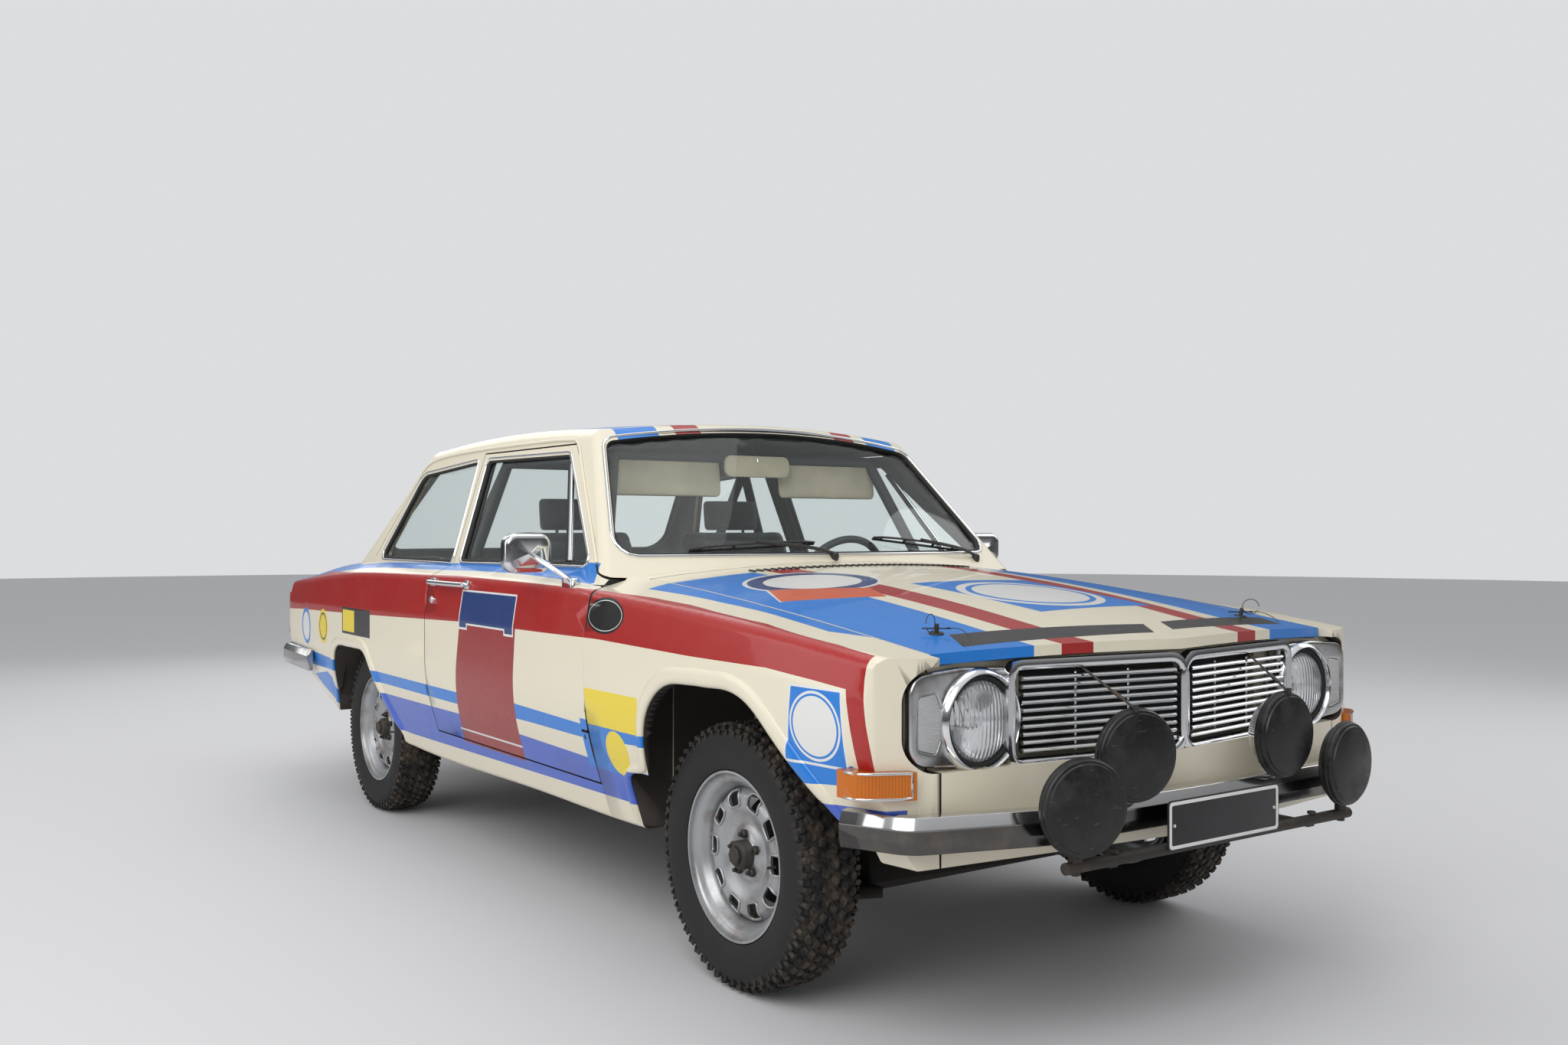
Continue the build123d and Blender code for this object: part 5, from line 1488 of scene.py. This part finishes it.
def make_bonnet_pins():
    """Two pins through the bonnet's front corners, with their clips and wire lanyards."""
    for side, label in SIDES:
        spot, normal = surface("bonnet", 0.500, side * 0.545, 1.3, (0, 0, -1))
        work = bmesh.new()
        for profile, corners in ((PIN_PLATE, 20), (PIN, 10)):
            lathe(work, profile, corners, spot, normal, close=False)
        rod(work, [spot + Vector((-0.020, -0.026, 0.012)), spot + Vector((0.020, 0.026, 0.012))], 0.0018, 6)
        centre = Vector((0.012, 0.028 * side, 0.026))
        loop = [centre + Vector((0.010 * math.cos(a), 0.022 * math.cos(a) * side, 0.020 * math.sin(a)))
                for a in (math.tau * i / 24 for i in range(23))]
        rod(work, [spot + p for p in loop], 0.0010, 6)
        wire = [(0.014, 0.018, 0.014), (0.045, 0.030, 0.012), (0.090, 0.010, 0.004), (0.130, -0.016, -0.008)]
        rod(work, arc([spot + Vector(p) for p in wire], 6), 0.0010, 6)
        pin = closed_piece("bonnet_pin_" + label, work, finish("dark_iron"), smooth=50)
        fix(pin, "bonnet_body")


# An arch lip: where the search starts and ends, its steps, the lip's way out, and its corners
ARCH_FROM, ARCH_TO, ARCH_STEP, LIP_OUT, LIP_SIDES = 0.300, 0.52, 0.003, 0.019, 14


def arch_edge(nodes, hub_x, side, sweep):
    """Points along the lower edge of a wheel arch, on the flank, with their directions from the hub."""
    edge = []
    for i in range(81):
        a = math.radians(sweep[0] + (sweep[1] - sweep[0]) * i / 80)
        radius = ARCH_FROM
        while radius < ARCH_TO:
            spot = flank(nodes, hub_x + radius * math.cos(a), WHEEL_Z + radius * math.sin(a), side)
            if spot and abs(spot.y) > FLANK_Y:
                reach = radius + LIP_OUT
                spot = flank(nodes, hub_x + reach * math.cos(a), WHEEL_Z + reach * math.sin(a), side)
                if spot and abs(spot.y) > FLANK_Y:
                    edge.append((spot, Vector((math.cos(a), 0, math.sin(a)))))
                break
            radius += ARCH_STEP
    return edge


def arch_lip(work, edge, side, half_wide=0.022, half_high=0.009):
    """A soft rounded lip laid along the edge of a wheel arch."""
    spots = [spot for spot, _ in edge]
    for _ in range(3):
        softened = [(a + b * 2 + c) / 4 for a, b, c in zip(spots, spots[1:], spots[2:])]
        spots = [spots[0], *softened, spots[-1]]
    rings = []
    for i, (spot, (_, way)) in enumerate(zip(spots, edge)):
        share = min(i, len(edge) - 1 - i) / 5
        swell = min(1.0, 0.35 + share)
        rings.append([work.verts.new(spot + way * half_wide * swell * math.cos(a)
                                     + Vector((0, side * half_high * swell * math.sin(a), 0)))
                      for a in (math.tau * j / LIP_SIDES for j in range(LIP_SIDES))])
    skin(work, rings)
    work.faces.new(rings[0])
    work.faces.new(rings[-1])


DRAIN_LINE = [(-0.703, 1.030), (-0.872, 1.188), (-1.022, 1.330), (-1.092, 1.396), (-1.160, 1.412),
              (-1.400, 1.416), (-1.900, 1.413), (-2.250, 1.400), (-2.400, 1.372), (-2.475, 1.300),
              (-2.560, 1.200), (-2.640, 1.100), (-2.700, 1.020)]


def make_body_beads():
    """The raised lips round the wheel arches, and the drain channels round the side windows."""
    beads = bmesh.new()
    for side, _ in SIDES:
        for nodes, hub_x, sweep in ((["front_wings", "nose_panel"], 0.0, (8, 196)),
                                    (["body_shell"], REAR_AXLE - AXLE, (2, 178))):
            edge = arch_edge(nodes, hub_x, side, sweep)
            if len(edge) > 8:
                arch_lip(beads, edge, side)
    fix(closed_piece("arch_lips", beads, finish("livery"), smooth=60), "chassis")
    rails = bmesh.new()
    for side, _ in SIDES:
        line = []
        for x, z in arc([Vector(p) for p in DRAIN_LINE], 10):
            spot = flank(["roof", "body_shell"], x, z, side)
            if spot:
                line.append(spot + Vector((0, side * 0.003, 0)))
        if len(line) > 3:
            rod(rails, line, 0.0050, 8)
    fix(closed_piece("drain_rails", rails, finish("cream"), smooth=60), "chassis")


# Cabin

# Steps along and round a cushion, the plain share at each end, and a seam's share of its channel
CUSHION_STEPS = (72, 56)
SEAM_MARGIN, SEAM_WIDTH = 0.09, 0.13


def cushion(work, start, end, thick_way, width, thick, channels=0, crown=0.012, groove=0.007, middle_y=0.0,
            lean=0.0):
    """A stuffed pad from start to end, crowned on the side that thick_way points to, with sewn channels."""
    start, end = at(start[0], middle_y, start[1]), at(end[0], middle_y, end[1])
    up = Vector((thick_way[0], 0, thick_way[1])).normalized()
    stations, around = CUSHION_STEPS
    rings = []
    for i in range(stations + 1):
        t = i / stations
        edge = abs(2 * t - 1)
        k = max(0.0, 1 - edge ** 7) ** 0.42
        centre = start.lerp(end, t)
        dip = 0.0
        if channels:
            share = ((t - SEAM_MARGIN) / (1 - 2 * SEAM_MARGIN) * channels) % 1.0
            dip = math.exp(-(min(share, 1 - share) / SEAM_WIDTH) ** 2)
        ring = []
        for j in range(around):
            a = math.tau * j / around
            c, s = math.cos(a), math.sin(a)
            u = math.copysign(abs(c) ** 0.36, c) * width / 2 * (0.90 + 0.10 * k)
            w = math.copysign(abs(s) ** 0.50, s) * thick / 2 * k
            inner = 1 - (2 * abs(u) / width) ** 4
            if s > 0:
                w += crown * inner * k - groove * dip * k * min(1.0, inner * 3)
                bolster = max(0.0, (2 * abs(u) / width) - 0.62) / 0.38
                w += lean * bolster * (1 - bolster) * 4 * k
            ring.append(work.verts.new(centre + Vector((0, u, 0)) + up * w))
        rings.append(ring)
    skin(work, rings)
    bmesh.ops.remove_doubles(work, verts=work.verts, dist=0.0004)
    return work


def make_seats():
    """Two front seats and the rear bench, in dark ribbed cloth."""
    frames = bmesh.new()
    for side, label in SIDES:
        y = side * 0.350
        parts = (("cushion", (-1.088, 0.612), (-1.612, 0.606), (0, 1), 0.478, 0.088, 6, 0.014, 0.018),
                 ("back", (-1.598, 0.640), (-1.734, 1.112), (0.96, 0.27), 0.470, 0.094, 6, 0.010, 0.020),
                 ("headrest", (-1.730, 1.122), (-1.744, 1.236), (0.98, 0.1), 0.232, 0.056, 0, 0.010, 0.0))
        for part, start, end, way, width, thick, channels, crown, lean in parts:
            work = cushion(bmesh.new(), start, end, way, width, thick, channels, crown, middle_y=y, lean=lean)
            pad = closed_piece("seat_" + part + "_" + label, work, finish("cloth"), smooth=60)
            stand_for(pad, "seats")
        for edge in (-0.18, 0.18):
            rod(frames, [at(-1.180, y + edge, 0.425), at(-1.540, y + edge, 0.425)], 0.012, 8)
            rod(frames, [at(-1.200, y + edge, 0.430), at(-1.185, y + edge, 0.575)], 0.010, 8)
            rod(frames, [at(-1.520, y + edge, 0.430), at(-1.540, y + edge, 0.575)], 0.010, 8)
        for edge in (-0.055, 0.055):
            rod(frames, [at(-1.725, y + edge, 1.085), at(-1.735, y + edge, 1.150)], 0.006, 8)
    fix(closed_piece("seat_frames", frames, finish("dark_iron"), smooth=50), "chassis")
    for label, start, end, way, width, thick, channels in (
            ("bench_cushion", (-2.132, 0.648), (-2.520, 0.640), (0.05, 1), 1.060, 0.118, 5),
            ("bench_back", (-2.500, 0.700), (-2.606, 0.948), (0.93, 0.36), 1.060, 0.080, 4)):
        work = cushion(bmesh.new(), start, end, way, width, thick, channels)
        pad = closed_piece(label, work, finish("cloth"), smooth=60)
        stand_for(pad, "seats")


# The dials: y, z and radius
DIALS = [(0.350, 0.842, 0.046), (0.235, 0.842, 0.034), (0.465, 0.842, 0.034), (0.0, 0.850, 0.022),
         (0.062, 0.850, 0.022)]


def make_dashboard():
    """The black dashboard with its dials, glove box lid, trip meter and padded top roll."""
    board = tidy_copy("dashboard", "padded_dashboard", smooth=35)
    finish("black").use(board)
    stand_for(board, "dashboard")
    dials, rims, extras = bmesh.new(), bmesh.new(), bmesh.new()
    face = -0.8802
    for y, z, radius in DIALS:
        lathe(dials, [(0, 0.001), (radius, 0.001), (radius, -0.004)], 32, at(face, y, z), (-1, 0, 0),
              close=False)
        lathe(rims, [(radius, -0.002), (radius, 0.003), (radius + 0.003, 0.006), (radius + 0.006, 0.003),
                     (radius + 0.006, -0.002)], 40, at(face, y, z), (-1, 0, 0))
    solid_box(extras, at(face - 0.008, -0.560, 0.806), at(face + 0.004, -0.180, 0.884), 0.003)
    solid_box(extras, at(-0.862, -0.470, 0.903), at(-0.760, -0.300, 0.952), 0.006)
    for y in (-0.425, -0.345):
        lathe(rims, [(0.022, -0.002), (0.022, 0.002), (0.026, 0.002), (0.026, -0.002)], 28,
              at(-0.8625, y, 0.928), (-1, 0, 0))
    rod(extras, [at(-0.868, -0.62, 0.900), at(-0.868, 0.0, 0.902), at(-0.868, 0.62, 0.900)], 0.011, 10)
    for work, label, key, slot in ((dials, "dials", "plate", "dark_trim"),
                                   (rims, "dial_rims", "chrome", "chrome"),
                                   (extras, "dash_fittings", "black", "dark_trim")):
        fix(closed_piece(label, work, finish(key), smooth=40), "chassis")


def make_hand_wheel():
    wheel = tidy_copy("steering_wheel", "hand_wheel", smooth=50)
    finish("black").use(wheel)
    stand_for(wheel, "steering_wheel")


def make_cage():
    cage = tidy_copy("roll_cage", "padded_cage", smooth=50)
    finish("cage").use(cage)
    stand_for(cage, "roll_cage")


def make_roof_fittings():
    """The inside mirror on its stalk, and the two sun visors."""
    x, z = -1.030, 1.338
    outline = round_box(0.0, z, 0.130, 0.036, 0.026)
    shell = flat_shape("inside_mirror", [outline[::-1]], 0.014, 0.003, facing_front(x), finish("beige"))
    fix(shell, "chassis")
    outline = [(u * 0.95, z + (v - z) * 0.85) for u, v in outline]
    glass = flat_shape("inside_mirror_glass", [outline], 0.002, 0.0006, facing_front(x - 0.0085),
                       finish("silver_backing"))
    fix(glass, "chassis")
    line = [at(x + along, 0, z + rise) for along, rise in ((0.006, 0.015), (-0.004, 0.045), (-0.02, 0.072))]
    stalk = rod(bmesh.new(), line, 0.006, 8)
    fix(from_bmesh("inside_mirror_stalk", stalk, finish("chrome"), smooth=50), "chassis")
    for side, label in SIDES:
        work = cushion(bmesh.new(), (-1.085, 1.368), (-1.070, 1.235), (1, 0.1), 0.420, 0.016, 0, 0.001,
                       middle_y=side * 0.330)
        visor = closed_piece("sun_visor_" + label, work, finish("beige"), smooth=60)
        fix(visor, "chassis")


# Running gear

RUNNING_GEAR = {"engine": "iron", "radiator": "black", "gearbox": "iron", "fuel_tank": "underseal",
                "exhaust": "steel", "front_suspension": "dark_iron", "rear_axle": "dark_iron",
                "knuckle_right": "iron", "knuckle_left": "iron"}


def make_running_gear():
    """The engine, axles, exhaust and tank in cast iron, steel and underseal."""
    for node, key in RUNNING_GEAR.items():
        piece = tidy_copy(node, "finished_" + node, smooth=35)
        finish(key).use(piece)
        stand_for(piece, node)


# Stage

CAMERA_AT = (4.28279, -2.59121, 1.13117)
CAMERA_YAW, CAMERA_PITCH, CAMERA_ROLL = (math.radians(a) for a in (144.890172, 0.229918, 0.0780176))
CAMERA_LENS = 31.405


def make_camera():
    """The camera at the photograph's place, angle and lens."""
    level = math.cos(CAMERA_PITCH)
    ahead = Vector((level * math.cos(CAMERA_YAW), level * math.sin(CAMERA_YAW), math.sin(CAMERA_PITCH)))
    right = ahead.cross(Vector((0, 0, 1))).normalized()
    up = right.cross(ahead)
    c, s = math.cos(CAMERA_ROLL), math.sin(CAMERA_ROLL)
    right, up = c * right + s * up, c * up - s * right
    lens_data = bpy.data.cameras.new("camera")
    lens_data.lens = CAMERA_LENS
    lens_data.sensor_width = 36.0
    lens_data.sensor_fit = "HORIZONTAL"
    lens_data.dof.use_dof = False
    lens_data.clip_end = 200.0
    camera = bpy.data.objects.new("camera", lens_data)
    bpy.context.scene.collection.objects.link(camera)
    turn = Matrix((right, up, -ahead)).transposed().to_4x4()
    camera.matrix_world = Matrix.Translation(CAMERA_AT) @ turn
    bpy.context.scene.camera = camera


LAMPS = [("key", (3.5, -4.5, 4.6), 5.0, 190.0), ("side", (-2.5, -6.0, 3.0), 5.0, 90.0),
         ("fill", (2.0, 6.0, 4.0), 5.0, 80.0), ("back", (-6.5, 1.0, 4.2), 5.0, 80.0),
         ("above", (-0.3, 0.0, 6.5), 6.0, 70.0)]


# The sky's tone, and its strength as it is seen, in reflections high and low, and as light
SKY_TONE = (0.94, 0.95, 0.97, 1)
SKY_SEEN, SKY_GLINT, SKY_LOW, SKY_LIGHT = 0.76, 0.85, 0.05, 0.60


def make_stage(colors):
    """A pale floor, a plain studio sky, soft lamps and the camera."""
    f = Finish("Floor", tuple(colors.floor), rough=0.75)
    work = bmesh.new()
    lathe(work, [(0, 0), (30, 0)], 64, (0, 0, -0.0005), (0, 0, 1), close=False)
    floor = from_bmesh("floor", work, f, smooth=0)
    for face in floor.data.polygons:
        if face.normal.z < 0:
            floor.data.flip_normals()
            break
    world = bpy.data.worlds.new("Studio")
    bpy.context.scene.world = world
    world.use_nodes = True
    sky = Graph(world.node_tree)
    path = world.node_tree.nodes.new("ShaderNodeLightPath")
    seen, mirrored, through = (Wire(sky, path.outputs[name])
                               for name in ("Is Camera Ray", "Is Glossy Ray", "Is Transmission Ray"))
    way = sky.add("ShaderNodeSeparateXYZ", values=[sky.add("ShaderNodeTexCoord", out="Generated")], out=2)
    rise = way.math("MAXIMUM", 0.0).math("POWER", 1.2)
    backdrop = world.node_tree.nodes["Background"]
    backdrop.inputs["Color"].default_value = SKY_TONE
    direct = seen | through
    glint = mirrored * (1 - direct)
    strength = direct * SKY_SEEN + glint * (rise * SKY_GLINT + SKY_LOW) + (1 - (direct | glint)) * SKY_LIGHT
    world.node_tree.links.new(strength.socket, backdrop.inputs["Strength"])
    for name, spot, size, power in LAMPS:
        data = bpy.data.lights.new("lamp_" + name, "AREA")
        data.shape = "DISK"
        data.size = size
        data.energy = power
        lamp = bpy.data.objects.new("lamp_" + name, data)
        bpy.context.scene.collection.objects.link(lamp)
        aim = (Vector((-0.2, 0, 0.6)) - Vector(spot)).to_track_quat("-Z", "Y")
        lamp.matrix_world = Matrix.Translation(spot) @ aim.to_matrix().to_4x4()
    bpy.context.scene.view_settings.view_transform = "Standard"
    make_camera()


# The add-on

def colors_of(context):
    return context.scene.rally_colors


def sizes_of(context):
    return context.scene.rally_sizes


class RALLY_OT_panels(bpy.types.Operator):
    """Paint the body panels with the livery"""
    bl_idname = "rally.panels"
    bl_label = "Body panels"

    def execute(self, context):
        make_finishes(colors_of(context))
        tree = sight_tree()
        for node in PANELS:
            paint_panel(node, tree)
        make_body_beads()
        return {"FINISHED"}


class RALLY_OT_glass(bpy.types.Operator):
    """Put in the windows with their rubber and bright trim"""
    bl_idname = "rally.glass"
    bl_label = "Windows"

    def execute(self, context):
        glaze(sizes_of(context))
        return {"FINISHED"}


class RALLY_OT_wheels(bpy.types.Operator):
    """Make the tyres with their tread, the silver wheels and their nuts"""
    bl_idname = "rally.wheels"
    bl_label = "Wheels and tyres"

    def execute(self, context):
        make_wheels(sizes_of(context))
        return {"FINISHED"}


class RALLY_OT_nose(bpy.types.Operator):
    """Make the headlamps, the grille, the driving lamps and the signal lamps"""
    bl_idname = "rally.nose"
    bl_label = "Lamps and grille"

    def execute(self, context):
        make_headlamps()
        make_grille(sizes_of(context))
        make_driving_lamps()
        make_signal_lamps()
        return {"FINISHED"}


class RALLY_OT_bumpers(bpy.types.Operator):
    """Make the bumpers and the two blank plates"""
    bl_idname = "rally.bumpers"
    bl_label = "Bumpers and plates"

    def execute(self, context):
        make_bumpers()
        make_plates()
        return {"FINISHED"}


class RALLY_OT_fittings(bpy.types.Operator):
    """Make the mirrors, door handles, wipers, cowl slots and bonnet pins"""
    bl_idname = "rally.fittings"
    bl_label = "Outside fittings"

    def execute(self, context):
        make_mirrors()
        make_door_fittings()
        make_wipers()
        make_cowl(sizes_of(context))
        make_bonnet_pins()
        return {"FINISHED"}


class RALLY_OT_cabin(bpy.types.Operator):
    """Make the seats, the dashboard, the hand wheel, the cage and the roof fittings"""
    bl_idname = "rally.cabin"
    bl_label = "Cabin"

    def execute(self, context):
        make_seats()
        make_dashboard()
        make_hand_wheel()
        make_cage()
        make_roof_fittings()
        return {"FINISHED"}


class RALLY_OT_running_gear(bpy.types.Operator):
    """Finish the engine, the axles, the exhaust and the tank"""
    bl_idname = "rally.running_gear"
    bl_label = "Running gear"

    def execute(self, context):
        make_running_gear()
        return {"FINISHED"}


class RALLY_OT_stage(bpy.types.Operator):
    """Set the floor, the sky, the lamps and the camera"""
    bl_idname = "rally.stage"
    bl_label = "Stage"

    def execute(self, context):
        make_stage(colors_of(context))
        return {"FINISHED"}


STEPS = [RALLY_OT_stage, RALLY_OT_panels, RALLY_OT_glass, RALLY_OT_wheels, RALLY_OT_nose, RALLY_OT_bumpers,
         RALLY_OT_fittings, RALLY_OT_cabin, RALLY_OT_running_gear]


class RALLY_PT_panel(bpy.types.Panel):
    """The sidebar panel with the car's colors, sizes and steps"""
    bl_idname = "RALLY_PT_panel"
    bl_label = "Rally Saloon"
    bl_space_type = "VIEW_3D"
    bl_region_type = "UI"
    bl_category = "Rally Saloon"

    def draw(self, context):
        for group in (colors_of(context), sizes_of(context)):
            for key in group.__annotations__:
                self.layout.prop(group, key)
        for step in STEPS:
            self.layout.operator(step.bl_idname)


CLASSES = [CarColors, CarSizes, *STEPS, RALLY_PT_panel]


def register():
    for each in CLASSES:
        bpy.utils.register_class(each)
    bpy.types.Scene.rally_colors = PointerProperty(type=CarColors)
    bpy.types.Scene.rally_sizes = PointerProperty(type=CarSizes)


def unregister():
    del bpy.types.Scene.rally_sizes
    del bpy.types.Scene.rally_colors
    for each in reversed(CLASSES):
        bpy.utils.unregister_class(each)


def main():
    register()
    for step in STEPS:
        group, name = step.bl_idname.split(".")
        getattr(getattr(bpy.ops, group), name)()


if __name__ == "__main__":
    main()
